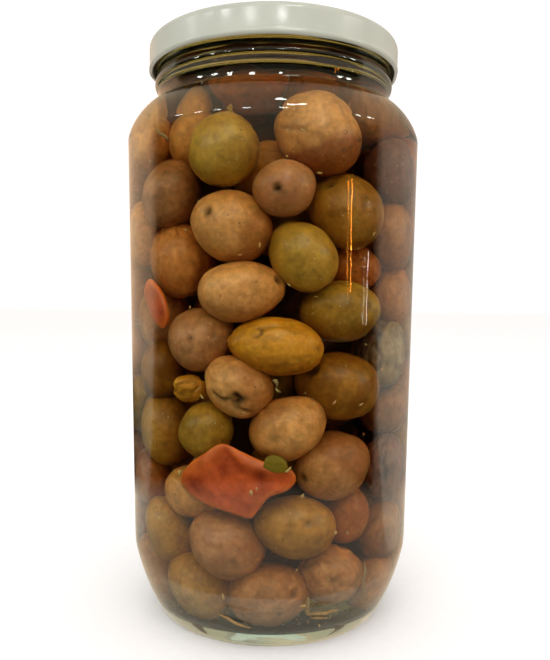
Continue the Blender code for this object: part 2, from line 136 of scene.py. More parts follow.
# Each olive seen from the front: round, height, length, width, lean to the right, depth, kind,
# tone from 0 for the kind's light colour to 1 for its dark one, and how wrinkled it is.
PLACED_OLIVES = (
    (-14, 163.0, 21.0, 13.0, -89, 16.0, "amber", 1.0, 0.0),
    (30, 162.0, 22.0, 14.0, 88, 17.0, "amber", 0.2, 0.0),
    (60, 160.0, 20.0, 17.0, 80, 0.0, "brown", 0.6, 0.0),
    (-66, 151.0, 20.0, 16.0, 5, 0.0, "tan", 0.2, 0.3),
    (-25, 146.0, 20.0, 19.2, 10, 0.0, "green", 0.25, 0.0),
    (18, 146.5, 23.5, 20.5, -65, 1.0, "tan", 0.4, 0.0),
    (-47, 149.0, 18.0, 15.0, 10, 7.0, "tan", 0.0, 0.0),
    (-4, 143.0, 20.0, 17.0, 60, 13.0, "tan", 0.0, 0.0),
    (68, 142.0, 20.0, 18.0, 0, 0.0, "plum", 0.8, 0.2),
    (-53, 136.0, 20.0, 18.5, 22, 0.0, "brown", 0.65, 0.1),
    (5, 136.0, 16.5, 15.5, 70, 0.0, "pink", 0.55, 0.0),
    (36, 130.0, 22.5, 20.5, -60, 0.0, "moss", 0.5, 0.0),
    (-16, 125.5, 22.5, 20.0, -64, 0.0, "tan", 0.25, 0.0),
    (-74, 124.0, 20.0, 16.0, 0, 0.0, "tan", 0.2, 0.0),
    (67, 124.0, 21.0, 17.0, -3, 0.0, "brown", 0.5, 0.1),
    (13, 116.5, 21.0, 17.5, -35, 0.0, "green", 0.15, 0.0),
    (-55, 114.0, 22.0, 20.0, -15, 0.0, "amber", 0.25, 0.5),
    (50, 114.0, 18.0, 15.0, 89, 8.0, "amber", 0.7, 0.0),
    (-14, 107.0, 23.5, 17.5, 84, 0.0, "tan", 0.0, 0.0),
    (68, 104.0, 19.0, 17.0, -2, 0.0, "brown", 0.2, 0.2),
    (34, 101.5, 23.0, 18.0, 84, 0.0, "green", 0.55, 0.0),
    (-64, 99.0, 20.0, 17.0, 0, 3.0, "pink", 0.5, 0.2),
    (-34, 93.0, 19.5, 18.5, 60, 0.0, "brown", 0.2, 0.1),
    (2, 91.0, 25.5, 17.0, -82, 0.0, "golden", 0.0, 0.35),
    (59, 88.5, 22.0, 18.0, 10, 0.0, "torn", 0.2, 1.0),
    (-60, 83.5, 18.0, 15.5, 0, 0.0, "moss", 1.0, 0.0),
    (41, 81.0, 24.5, 20.5, -74, 0.0, "moss", 0.65, 0.0),
    (-36, 78.5, 11.0, 8.5, 88, 0.0, "golden", 0.7, 0.8),
    (-14, 75.4, 20.0, 17.0, -49, 0.0, "tan", 0.0, 0.2),
    (71, 71.0, 19.0, 17.0, 60, 0.0, "brown", 0.6, 0.2),
    (6, 69.3, 22.0, 18.5, 58, 0.0, "tan", 0.35, 0.0),
    (-27, 68.0, 17.5, 15.5, 28, 0.0, "green", 0.6, 0.0),
    (-60, 64.5, 22.5, 18.5, -10, 0.0, "moss", 0.0, 0.0),
    (31, 55.0, 22.0, 21.0, 70, 0.0, "pink", 0.0, 0.0),
    (67, 52.5, 22.0, 17.0, -2, 0.0, "plum", 0.6, 0.8),
    (-38, 47.0, 18.5, 16.5, 87, 0.0, "tan", 0.15, 0.0),
    (-69, 47.0, 18.0, 16.0, 0, 0.0, "amber", 0.7, 0.0),
    (45, 39.0, 18.0, 14.5, 8, 5.0, "amber", 0.6, 0.1),
    (10, 36.6, 23.0, 19.0, -79, 0.0, "moss", 0.2, 0.1),
    (-56, 33.0, 21.5, 17.0, -21, 0.0, "moss", 0.0, 0.1),
    (62, 29.5, 20.0, 17.0, -2, 0.0, "brown", 0.7, 0.2),
    (-17, 28.8, 23.0, 20.0, -48, 0.0, "pink", 0.55, 0.25),
    (28, 20.5, 19.5, 17.5, -57, 0.0, "pink", 0.35, 0.6),
    (-38, 14.0, 21.5, 18.5, -40, 0.0, "moss", 0.0, 0.1),
    (0, 14.8, 23.0, 19.0, 84, 0.0, "brown", 0.3, 0.2),
    (62, 14.0, 18.0, 16.0, 37, 0.0, "pink", 0.3, 0.1),
)

# Dents in placed olives, as the olive's number, the place right and up of its middle as seen
# from the front, the dent's radius and depth in millimetres, and how dark it is.
DENTS = (
    (10, -2.0, -0.8, 1.7, 1.9, 1.0),
    (11, -4.5, 7.0, 2.0, 1.0, 0.6),
    (12, -7.0, 3.6, 2.1, 1.2, 0.8),
    (18, 10.2, 3.2, 2.0, 1.2, 0.9),
    (20, 8.7, 2.2, 1.6, 0.6, 0.6),
    (22, -3.1, 0.8, 1.1, 0.4, 0.8),
    (23, 11.6, -0.6, 1.5, 0.6, 0.5),
    (26, -7.3, 5.6, 2.8, 1.6, 0.7),
    (30, -3.6, -2.5, 1.7, 0.8, 0.5),
    (38, 3.6, 3.1, 1.6, 0.7, 0.5),
    (38, -0.8, 2.6, 1.3, 0.5, 0.4),
    (33, -8.0, -2.5, 2.0, 1.0, 0.7),
    (44, 3.4, -3.9, 1.1, 0.5, 0.9),
    (44, 7.6, 2.2, 2.2, 0.8, 0.7),
    (41, 1.5, -3.0, 1.2, 0.4, 0.5),
)

# Creases and tears in placed olives: number, width and depth in millimetres, how dark its painted
# shade is, and points right and up of the olive's middle as seen from the front.
CREASES = (
    (5, 0.9, 0.35, 0.1, ((-9.5, 1.2), (-6.5, 0.6), (-3.5, 0.1), (-1.0, -1.2), (3.0, -2.8))),
    (23, 1.0, 0.7, 0.8, ((-5.4, 5.6), (-3.8, 5.2), (-4.4, 4.0), (-5.6, 3.0))),
    (23, 1.1, 0.4, 0.2, ((-3.5, 5.4), (0.5, 5.9), (3.5, 5.3))),
    (28, 2.4, 2.6, 1.0, ((-0.9, -2.1), (0.8, -3.4), (-0.6, -4.6))),
    (28, 1.4, 1.2, 0.6, ((-7.2, -1.6), (-5.0, -3.6), (-2.6, -2.8), (-1.4, -5.6), (2.2, -6.4))),
    (34, 1.2, 1.0, 0.9, ((1.2, 5.5), (0.4, 2.5), (1.8, 0.5), (0.9, -2.8))),
    (42, 1.5, 0.7, 0.35, ((-1.5, 1.0), (0.8, -0.4), (2.6, 0.6), (3.6, -1.6))),
    (41, 1.6, 0.4, 0.15, ((-6.0, 0.8), (-1.0, 1.4), (3.2, 0.2))),
    (24, 1.4, 1.2, 0.5, ((-1.0, 7.0), (-2.2, 3.0), (0.4, -0.5), (-1.2, -5.0))),
)

# Where an olive turns from its own colour to its kind's ripe one: number, the side it turns to
# as right and up, where it starts in millimetres from the middle, and how strongly. The turn is
# partly the olive's riper skin and partly painted shade where the side faces down.
RIPE_SIDES = (
    (3, 0.6, -0.8, 0.0, 0.6),
    (5, 0.3, -0.95, 2.0, 0.9),
    (12, 0.9, -0.45, 3.0, 0.6),
    (18, -0.2, -1.0, 3.0, 0.4),
    (23, -0.2, -1.0, 2.5, 0.4),
    (28, 0.95, 0.3, -1.0, 0.5),
    (30, -0.7, 0.7, 4.0, 0.5),
    (32, 0.9, 0.2, -2.0, 0.5),
    (33, 0.6, 0.8, 1.0, 0.7),
    (16, 1.0, -0.3, 3.0, 0.6),
    (20, 0.0, -1.0, 2.0, 0.5),
    (24, -1.0, 0.2, 1.0, 0.9),
)

# Olives with a small point at their upper or blossom end: number and height in millimetres
TIPS = ((4, 1.1), (23, 0.9))

# Rows of olives round the sides and the back, and in the middle of the jar
ROW_COUNT = 9
ROW_FIRST = 15.0
ROW_STEP = 18.2
SIDE_FROM = 84.0
SIDE_TO = 282.0
SIDE_COUNT = 6
MIDDLE_COUNT = 4
MIDDLE_RADIUS = 14.0
OLIVE_LENGTH = (19.5, 24.5)
OLIVE_SLIMNESS = (0.78, 0.92)
FILL_SEED = 11
LOOKS_SEED = 5
CRUMB_SEED = 23
BUBBLE_SEED = 31

# Red pepper: each outline goes clockwise from its left corner, as (round, height)
FRONT_PEPPER = (
    (-38, 51), (-34, 56), (-27, 60), (-19, 63.5), (-11, 61.5), (-3, 59),
    (6, 57.5), (10, 54), (7, 50.5), (0, 48.5), (-4, 45), (-7.5, 42),
    (-14, 43), (-25, 45), (-33, 47.5),
)
LEFT_PEPPER = (
    (-61, 107), (-56, 110.5), (-49, 107.5), (-45, 103), (-44, 99), (-47, 96),
    (-52, 97.5), (-57, 102),
)
PEPPER_DEPTH = 3.6 * MM
PEPPER_GAP = 0.5 * MM  # between the pepper and the glass
PEPPER_CLEAR = 0.5 * MM  # kept between the pepper and the olives behind it

GUARD_RINGS = (0.0, 0.45, 0.85)  # the shares of its outline at which a piece is kept clear
PEPPER_FULLNESS = 0.75  # how the piece's vertices spread from its middle to its edge
PEPPER_RELIEF = ((0.35 * MM, 4.5 * MM, 3), (0.15 * MM, 1.8 * MM, 8))  # depth, size and seed
PEPPER_SINK = 0.45 * MM
DEGREE_ROUND = 0.76  # how many millimetres round the wall a degree is
CURVE_STEPS = 12

# Folds across the front piece: height in millimetres, width in millimetres, and the line
PEPPER_FOLDS = (
    (0.9, 2.2, ((-26, 60.0), (-24, 55.0), (-21, 50.0), (-18, 45.0))),
    (-0.8, 1.8, ((-17, 62.0), (-14, 57.0), (-8, 54.5), (0, 53.5), (6, 54.0))),
    (0.7, 1.6, ((-12, 60.5), (-5, 57.0), (4, 56.0))),
    (-0.6, 1.6, ((-33, 50.5), (-27, 48.0), (-18, 47.5), (-9, 45.0))),
)

# The kinds of olive: the piece's name, its light, dark and ripe colours, and what it is like.
# The ripe colour also paints shade on the lower side of some olives.
KINDS = {
    "green": ("#C18E36", "#92631B", "#884E17"),
    "moss": ("#BC7F30", "#894F13", "#76390B"),
    "golden": ("#D48B22", "#AA6918", "#A2550F"),
    "tan": ("#E19A5C", "#BB7539", "#974E20"),
    "amber": ("#D28244", "#A85828", "#803C16"),
    "brown": ("#C58254", "#8B5231", "#68371F"),
    "pink": ("#CE8C5D", "#A5623D", "#904B20"),
    "torn": ("#A98868", "#7C5E46", "#6E4853"),
    "plum": ("#A2695D", "#6A3D37", "#5A2B30"),
}
FILL_KINDS = ("tan", "tan", "amber", "amber", "brown", "brown", "moss", "green", "pink", "plum")


def linear(code):
    """The linear colour of an sRGB hex value."""
    channels = [int(code[k : k + 2], 16) / 255 for k in (1, 3, 5)]
    made = [c / 12.92 if c <= 0.04045 else ((c + 0.055) / 1.055) ** 2.4 for c in channels]
    return (*made, 1.0)


def length_property(name, description, millimetres):
    return bpy.props.FloatProperty(
        name=name, description=description, default=millimetres * MM, unit="LENGTH",
        subtype="DISTANCE", precision=5,
    )


def colour_property(name, description, code):
    return bpy.props.FloatVectorProperty(
        name=name, description=description, default=linear(code), size=4, min=0, max=1,
        subtype="COLOR",
    )


class GlassSizes(bpy.types.PropertyGroup):
    body_radius: length_property("Body radius", "Outside radius of the straight side", 46.5)
    wall: length_property("Wall", "Thickness of the side", 2.8)
    foot_radius: length_property("Foot radius", "Outer edge of the ring it stands on", 37.0)
    foot_width: length_property("Foot width", "Width of the ring it stands on", 2.5)
    push_up: length_property("Push-up", "How far the underside is domed up", 1.6)
    floor_middle: length_property("Floor, middle", "Height of the floor at the axis", 6.2)
    floor_edge: length_property("Floor, edge", "Height of the floor at its edge", 5.0)
    heel_height: length_property("Heel height", "Where the heel meets the side", 25.0)
    heel_fullness: bpy.props.FloatProperty(
        name="Heel fullness", description="1 is a chamfer, 2 a quarter circle", default=1.31)
    shoulder_start: length_property("Shoulder, lower end", "Top of the straight side", 154.0)
    shoulder_end: length_property("Shoulder, upper end", "Where the neck begins", 165.7)
    shoulder_fullness: bpy.props.FloatProperty(
        name="Shoulder fullness", description="1 is a chamfer, 2 a quarter circle", default=1.47)
    neck_radius: length_property("Neck radius", "Outside radius of the neck", 36.8)
    neck_wall: length_property("Neck wall", "Thickness of the neck", 2.8)
    bead_height: length_property("Bead height", "Middle of the bead under the lid", 171.6)
    bead_radius: length_property("Bead radius", "Outside radius of the bead", 37.9)
    finish_radius: length_property("Finish radius", "Outside radius above the bead", 36.9)
    rim_height: length_property("Rim height", "Top of the glass", 182.9)
    ripple: length_property("Ripple", "Depth of the slow waves in the surface", 0.08)
    sides: bpy.props.IntProperty(
        name="Sides", description="Steps round the axis", default=160, min=32)
    tint: colour_property("Glass colour", "The faint green of container glass", "#F4FAF4")


class BrineSizes(bpy.types.PropertyGroup):
    into_wall: length_property("Into the wall", "How far the brine reaches into the glass", 0.25)
    level: length_property("Level", "Height of the brine in the neck", 181.2)
    stain: colour_property("Stain", "Colour that the brine lets through", "#DEC355")
    strength: bpy.props.FloatProperty(
        name="Stain strength", description="Absorption per metre", default=50.0, min=0)


class LidSizes(bpy.types.PropertyGroup):
    top: length_property("Top", "Height of the lid's ring", 184.0)
    radius: length_property("Radius", "Outside radius at the curl", 39.8)
    bottom: length_property("Bottom", "Lower edge of the curl", 175.2)
    metal: length_property("Metal", "Thickness of the lacquered steel as drawn", 0.6)
    edge_round: length_property("Edge round", "Radius of the top edge", 2.0)
    curl_round: length_property("Curl", "Radius of the rolled hem", 0.9)
    panel_radius: length_property("Panel radius", "Radius of the dropped panel", 31.5)
    panel_drop: length_property("Panel drop", "Depth of the dropped panel", 0.9)
    hem_wave: length_property("Hem wave", "How far the lugs pull the hem in", 0.35)
    lugs: bpy.props.IntProperty(name="Lugs", description="Places where the hem is pressed in",
                                default=6, min=0)
    lacquer: colour_property("Lacquer", "Grey white lacquer", "#B7BCB0")


class OliveSizes(bpy.types.PropertyGroup):
    sides: bpy.props.IntProperty(name="Sides", description="Sides of a placed olive",
                                 default=80, min=16)
    fill_sides: bpy.props.IntProperty(name="Sides, filling", default=32, min=12,
                                      description="Sides of an olive that fills the rest")
    unevenness: length_property("Unevenness", "Depth of an olive's broad hollows", 0.45)
    wrinkle_depth: length_property("Wrinkle depth", "Depth of the deepest wrinkles", 0.9)
    # This colour also paints the shade along the creases.
    dent: colour_property("Dent", "The dark scar where the stem was", "#3A2413")
    speck: colour_property("Speck", "Pale pores in the skin", "#E8CF9C")


class PepperSizes(bpy.types.PropertyGroup):
    sides: bpy.props.IntProperty(name="Sides", description="Steps round a piece",
                                 default=120, min=24)
    flesh: colour_property("Flesh", "Ripe red pepper", "#CA5222")
    # Painted light: the glow of the thin edge, where light shines through the flesh.
    edge: colour_property("Edge", "Where the piece is thin and lets light through", "#DE6C22")
    deep: colour_property("Deep", "In the folds", "#7A1C08")


class BitSizes(bpy.types.PropertyGroup):
    leaf_length: length_property("Leaf", "Length of the green bit", 6.6)
    twig_radius: length_property("Twig radius", "Radius of the thickest twig", 0.85)
    fleck_count: bpy.props.IntProperty(name="Flecks", description="Crumbs of herb and flesh",
                                       default=110, min=0)
    bubble_count: bpy.props.IntProperty(name="Bubbles", description="Air bubbles at the wall",
                                        default=46, min=0)
    leaf: colour_property("Leaf colour", "Soaked green leaf", "#97740F")
    twig: colour_property("Twig colour", "Soaked stem", "#B4925F")
    fleck: colour_property("Fleck colour", "Pale crumbs", "#DDAE74")


class StageSettings(bpy.types.PropertyGroup):
    camera_distance: length_property("Camera distance", "From the jar's axis", 236.7)
    camera_height: length_property("Camera height", "Above the floor", 102.7)
    camera_pitch: bpy.props.FloatProperty(
        name="Camera pitch", description="Looking down", default=math.radians(7.67),
        subtype="ANGLE")
    camera_yaw: bpy.props.FloatProperty(
        name="Camera yaw", description="To the right", default=math.radians(0.34),
        subtype="ANGLE")
    camera_roll: bpy.props.FloatProperty(
        name="Camera roll", description="Anticlockwise", default=math.radians(0.54),
        subtype="ANGLE")
    lens: bpy.props.FloatProperty(
        name="Lens", description="On a 36 mm sensor, in millimetres", default=37.85)
    rise: bpy.props.FloatProperty(
        name="Rise", description="Vertical shift of the lens", default=70 / 660)
    floor: colour_property("Floor", "Pale matt paper", "#FDFDFF")
    sky: bpy.props.FloatProperty(
        name="Sky", description="Strength of the even light from all round", default=0.36)
    sky_mirrored: bpy.props.FloatProperty(
        name="Sky, mirrored", description="Strength of what the glass mirrors", default=1.1)
    wall_left: colour_property("Wall, left", "Mirrored at the left edge", "#FFD2B4")
    wall_right: colour_property("Wall, right", "Mirrored at the right edge", "#C5B2A8")
    ceiling: colour_property("Ceiling", "Mirrored in the shoulder and the neck", "#C9B7A2")
    table: colour_property("Table", "Mirrored in the lower part", "#F0DCCA")
    daylight: bpy.props.FloatProperty(
        name="Daylight", description="Strength of the soft light from above", default=2.2)


SETTINGS = {
    "jar_glass": GlassSizes,
    "jar_brine": BrineSizes,
    "jar_lid": LidSizes,
    "jar_olives": OliveSizes,
    "jar_pepper": PepperSizes,
    "jar_bits": BitSizes,
    "jar_stage": StageSettings,
}


# Profiles


def superellipse(fullness, steps):
    """Points from (1, 0) to (0, 1) on a corner curve of this fullness."""
    points = []
    for step in range(steps + 1):
        turn = math.pi / 2 * step / steps
        points.append((
            max(math.cos(turn), 0.0) ** (2 / fullness),
            max(math.sin(turn), 0.0) ** (2 / fullness),
        ))
    return points


def heel(glass, foot, radius, bottom, top, steps):
    """The curve from the foot out and up to the straight side, as (radius, height)."""
    return [
        (foot + (radius - foot) * up, top - (top - bottom) * across)
        for across, up in superellipse(glass.heel_fullness, steps)
    ]


def drawn_heel(glass, foot, radius, bottom, top):
    """The heel with its corners eased, so that it runs into the straight side."""
    corners = heel(glass, foot, radius, bottom, top, HEEL_CORNERS)
    return eased(corners + [(radius, top + HEEL_RUN)], HEEL_ROUNDS)


def shoulder(glass, radius, neck, bottom, top, steps):
    """The curve from the straight side up and in to the neck, as (radius, height)."""
    return [
        (neck + (radius - neck) * across, bottom + (top - bottom) * up)
        for across, up in superellipse(glass.shoulder_fullness, steps)
    ]


def eased(points, rounds):
    """The same line with its corners cut off, again and again."""
    for _ in range(rounds):
        cut = [points[0]]
        for (r0, z0), (r1, z1) in zip(points, points[1:]):
            cut.append((r0 * 0.75 + r1 * 0.25, z0 * 0.75 + z1 * 0.25))
            cut.append((r0 * 0.25 + r1 * 0.75, z0 * 0.25 + z1 * 0.75))
        points = cut + [points[-1]]
    return points


def outer_profile(glass, steps):
    """The outside of the glass from the middle of the base to the rim."""
    foot_inner = glass.foot_radius - glass.foot_width
    foot = [
        (0.0, glass.push_up), (foot_inner - PUSH_UP_SLOPE, glass.push_up * PUSH_UP_EDGE),
        (foot_inner, 0.0), (glass.foot_radius - FOOT_ROUND, 0.0),
    ]
    neck, bead, finish = glass.neck_radius, glass.bead_height, glass.finish_radius
    thread_foot, ridge, thread_top = (bead + rise for rise in THREAD_RISE)
    top = [
        (neck, glass.shoulder_end), (neck - GROOVE_DEPTH, glass.shoulder_end + GROOVE_RISE),
        (neck, bead - BEAD_REACH), (glass.bead_radius, bead - BEAD_FLAT),
        (glass.bead_radius, bead + BEAD_FLAT), (finish, bead + BEAD_REACH),
        (finish, thread_foot), (finish + THREAD_DEPTH, ridge), (finish, thread_top),
        (finish, glass.rim_height - RIM_OUTSIDE[1]), (finish - RIM_OUTSIDE[0], glass.rim_height),
    ]
    side = drawn_heel(glass, glass.foot_radius, glass.body_radius, 0.0, glass.heel_height)
    slope = shoulder(glass, glass.body_radius, neck, glass.shoulder_start, glass.shoulder_end,
                     steps)
    return eased(foot, 2) + side + slope[:-1] + eased(top, 2)


def inner_profile(glass, steps):
    """The inside of the glass from the middle of the floor to the rim."""
    radius = glass.body_radius - glass.wall
    neck = glass.neck_radius - glass.neck_wall
    points = [(0.0, glass.floor_middle)]
    points += [(glass.foot_radius - FLOOR_CURVE, glass.floor_edge + FLOOR_RISE)]
    points += drawn_heel(glass, glass.foot_radius - HEEL_INSIDE, radius, glass.floor_edge,
                         glass.heel_height + HEEL_LIFT)
    points += shoulder(glass, radius, neck, glass.shoulder_start - SHOULDER_DROP,
                       glass.shoulder_end - NECK_DROP, steps)
    points += [(neck, glass.rim_height - RIM_INSIDE[1]), (neck + RIM_INSIDE[0], glass.rim_height)]
    return points


def resampled(points, spacing):
    """The same line with points no further apart than this spacing."""
    line = []
    for (r0, z0), (r1, z1) in zip(points, points[1:]):
        count = max(1, math.ceil(math.dist((r0, z0), (r1, z1)) / spacing))
        line += [(r0 + (r1 - r0) * k / count, z0 + (z1 - z0) * k / count) for k in range(count)]
    return np.array(line + [points[-1]])


# Modelling by hand


def deselect():
    if bpy.context.object and bpy.context.object.mode != "OBJECT":
        bpy.ops.object.mode_set(mode="OBJECT")
    bpy.ops.object.select_all(action="DESELECT")


def select_only(piece):
    deselect()
    piece.select_set(True)
    bpy.context.view_layer.objects.active = piece


def pick(piece, wanted):
    """In edit mode, selects the vertices whose place passes the test."""
    bpy.ops.mesh.select_mode(type="VERT")
    bpy.ops.mesh.select_all(action="DESELECT")
    made = bmesh.from_edit_mesh(piece.data)
    for vertex in made.verts:
        vertex.select_set(wanted(vertex.co))
    made.select_flush(True)
    bmesh.update_edit_mesh(piece.data)


def turned(name, profile, sides, start=0.0, sweep=math.tau):
    """Draws a profile of (radius, height) points and spins it round the jar's axis."""
    deselect()
    way = Vector((math.cos(start), math.sin(start), 0.0))
    first = way * profile[0][0] + Vector((0, 0, profile[0][1]))
    bpy.ops.mesh.primitive_plane_add(size=1 * MM, location=first)
    piece = bpy.context.object
    piece.name = name
    bpy.ops.object.transform_apply(location=True, rotation=True, scale=True)
    select_whole()
    bpy.ops.mesh.select_mode(type="VERT")
    bpy.ops.mesh.merge(type="CENTER")
    for (r0, z0), (r1, z1) in zip(profile, profile[1:]):
        step = way * (r1 - r0) + Vector((0, 0, z1 - z0))
        bpy.ops.mesh.extrude_vertices_move(TRANSFORM_OT_translate={"value": step})
    bpy.ops.mesh.select_all(action="SELECT")
    bpy.ops.mesh.spin(steps=sides, angle=sweep, center=(0, 0, 0), axis=(0, 0, 1))
    bpy.ops.mesh.select_all(action="SELECT")
    bpy.ops.mesh.remove_doubles(threshold=MERGE_DISTANCE)
    bpy.ops.mesh.normals_make_consistent(inside=False)
    bpy.ops.object.mode_set(mode="OBJECT")
    return piece


def select_whole():
    """Goes into edit mode with all of the piece selected."""
    bpy.ops.object.mode_set(mode="EDIT")
    bpy.ops.mesh.select_all(action="SELECT")


def faced_out(piece):
    """Turns every face outwards, leaves edit mode and smooths the piece."""
    bpy.ops.mesh.select_all(action="SELECT")
    bpy.ops.mesh.normals_make_consistent(inside=False)
    bpy.ops.object.mode_set(mode="OBJECT")
    piece.data.shade_smooth()


def smoothed(piece, degrees=SMOOTH_ANGLE):
    select_only(piece)
    bpy.ops.object.shade_smooth_by_angle(angle=math.radians(degrees))


def read_points(mesh):
    flat = np.empty(len(mesh.vertices) * 3, np.float64)
    mesh.vertices.foreach_get("co", flat)
    return flat.reshape(-1, 3)


def write_points(mesh, points):
    mesh.vertices.foreach_set("co", np.asarray(points, np.float32).reshape(-1))
    mesh.update()


def add_attribute(mesh, name, kind, values):
    made = mesh.attributes.new(name, kind, "POINT")
    key = "value" if kind == "FLOAT" else "vector"
    made.data.foreach_set(key, np.asarray(values, np.float32).reshape(-1))


def joined(name, pieces):
    """One piece made of several."""
    deselect()
    for piece in pieces:
        piece.select_set(True)
    bpy.context.view_layer.objects.active = pieces[0]
    if len(pieces) > 1:
        bpy.ops.object.join()
    whole = bpy.context.object
    whole.name = name
    whole.data.name = name
    return whole


def copy_of(blank, name):
    made = bpy.data.objects.new(name, blank.data.copy())
    bpy.context.scene.collection.objects.link(made)
    return made


def hand_over(piece, finish, nodes=()):
    """Gives a finished piece its material and its place on the jar."""
    piece.data.materials.clear()
    piece.data.materials.append(finish)
    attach(piece, "root")
    if nodes:
        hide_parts(*nodes)


def grain(points, size, seed):
    """Smooth noise from -1 to 1 at each point, with swells of this size."""
    shift = Vector((seed * 3.7, seed * 1.3, seed * 7.1))
    return np.array([noise.noise(Vector(point) / size + shift) for point in points])


# Materials. The scale of a pattern is one over the real size of what it draws.


CLEAR = (1.0, 1.0, 1.0, 1.0)
NOISE = (0.3, 0.7)  # nearly all values of a noise texture lie between these
GLASS_IOR = 1.5
BRINE_IOR = 1.34
WET_IOR = 1.36  # olive skin and pepper, which are mostly water
NODE_STEP = 200


def node(tree, kind, inputs=(), **settings):
    """Adds a shader node. An input is given a value, or the node or socket that feeds it."""
    made = tree.nodes.new("ShaderNode" + kind)
    made.location = (NODE_STEP * len(tree.nodes), 0)
    for name, value in settings.items():
        setattr(made, name, value)
    for key, value in inputs.items() if isinstance(inputs, dict) else enumerate(inputs):
        if isinstance(value, bpy.types.Node):
            value = next(socket for socket in value.outputs if socket.enabled)
        if isinstance(value, bpy.types.NodeSocket):
            tree.links.new(value, made.inputs[key])
        else:
            made.inputs[key].default_value = value
    return made


def new_material(name):
    made = bpy.data.materials.new(name)
    made.use_nodes = True
    made.node_tree.nodes.clear()
    return made, made.node_tree


def see_through(tree, tint, ior, lamp_tint=CLEAR, **skin):
    """Clear stuff. Lamps shine straight through, so that it throws no black shadow."""
    clear = node(tree, "BsdfGlass", {"Color": tint, "Roughness": 0.0, "IOR": ior, **skin})
    lamps = node(tree, "BsdfTransparent", {"Color": lamp_tint})
    shadow = node(tree, "LightPath").outputs["Is Shadow Ray"]
    return node(tree, "MixShader", (shadow, clear, lamps))


def soda_lime_glass(glass):
    """Container glass, blown in a mould: clear, faintly green, with slow waves in its skin."""
    made, tree = new_material("soda_lime_glass")
    where = node(tree, "TexCoord").outputs["Object"]
    # The waves are about 10 mm apart round the jar and longer up it, as the gob was drawn.
    stretch = node(tree, "Mapping", {"Vector": where, "Scale": (1.0, 1.0, 0.6)})
    waves = node(tree, "TexNoise", {
        "Vector": stretch, "Scale": 1 / (10 * MM), "Detail": 3.0, "Roughness": 0.65,
    })
    skin = node(tree, "Bump", {"Strength": 0.6, "Distance": glass.ripple, "Height": waves})
    clear = see_through(tree, glass.tint, GLASS_IOR, (0.96, 0.97, 0.96, 1), Normal=skin)
    # Thick glass is greenish and darker, as in the base and the heel.
    depth = node(tree, "VolumeAbsorption", {"Color": linear("#CDD3C5"), "Density": 12.0})
    node(tree, "OutputMaterial", {"Surface": clear, "Volume": depth})
    return made


def stained_brine(brine):
    """Salt water that the fruit has stained brown. Depth darkens it, and blue goes first."""
    made, tree = new_material("stained_brine")
    clear = see_through(tree, CLEAR, BRINE_IOR)
    stain = node(tree, "VolumeAbsorption", {"Color": brine.stain, "Density": brine.strength})
    node(tree, "OutputMaterial", {"Surface": clear, "Volume": stain})
    return made


def white_lacquer(lid):
    """Tinplate with baked white lacquer: glossy, with a faint orange peel and a worn hem."""
    made, tree = new_material("baked_white_lacquer")
    where = node(tree, "TexCoord").outputs["Object"]
    # Orange peel is about 1 mm across. Handling leaves cloudy marks about 12 mm across.
    peel = node(tree, "TexNoise", {"Vector": where, "Scale": 1 / (1.1 * MM), "Detail": 2.0})
    marks = node(tree, "TexNoise", {"Vector": where, "Scale": 1 / (12 * MM), "Detail": 3.0})
    height = node(tree, "SeparateXYZ", (where,)).outputs["Z"]
    hem = node(tree, "MapRange", (height, lid.bottom + 1.2 * MM, lid.bottom, 0.0, 1.0))
    grime = node(tree, "Math", (hem, marks), operation="MULTIPLY")
    worn = node(tree, "Mix", {0: grime, 6: lid.lacquer, 7: linear("#8E8B78")}, data_type="RGBA")
    cloud = node(tree, "MapRange", (marks, *NOISE, 0.95, 1.03))
    toned = node(tree, "HueSaturation", {"Value": cloud, "Color": worn})
    gloss = node(tree, "MapRange", (marks, *NOISE, 0.15, 0.23))
    skin = node(tree, "Bump", {"Strength": 0.12, "Distance": 0.1 * MM, "Height": peel})
    shader = node(tree, "BsdfPrincipled", {
        "Base Color": toned, "Roughness": gloss, "IOR": 1.5, "Normal": skin,
    })
    node(tree, "OutputMaterial", {"Surface": shader})
    return made


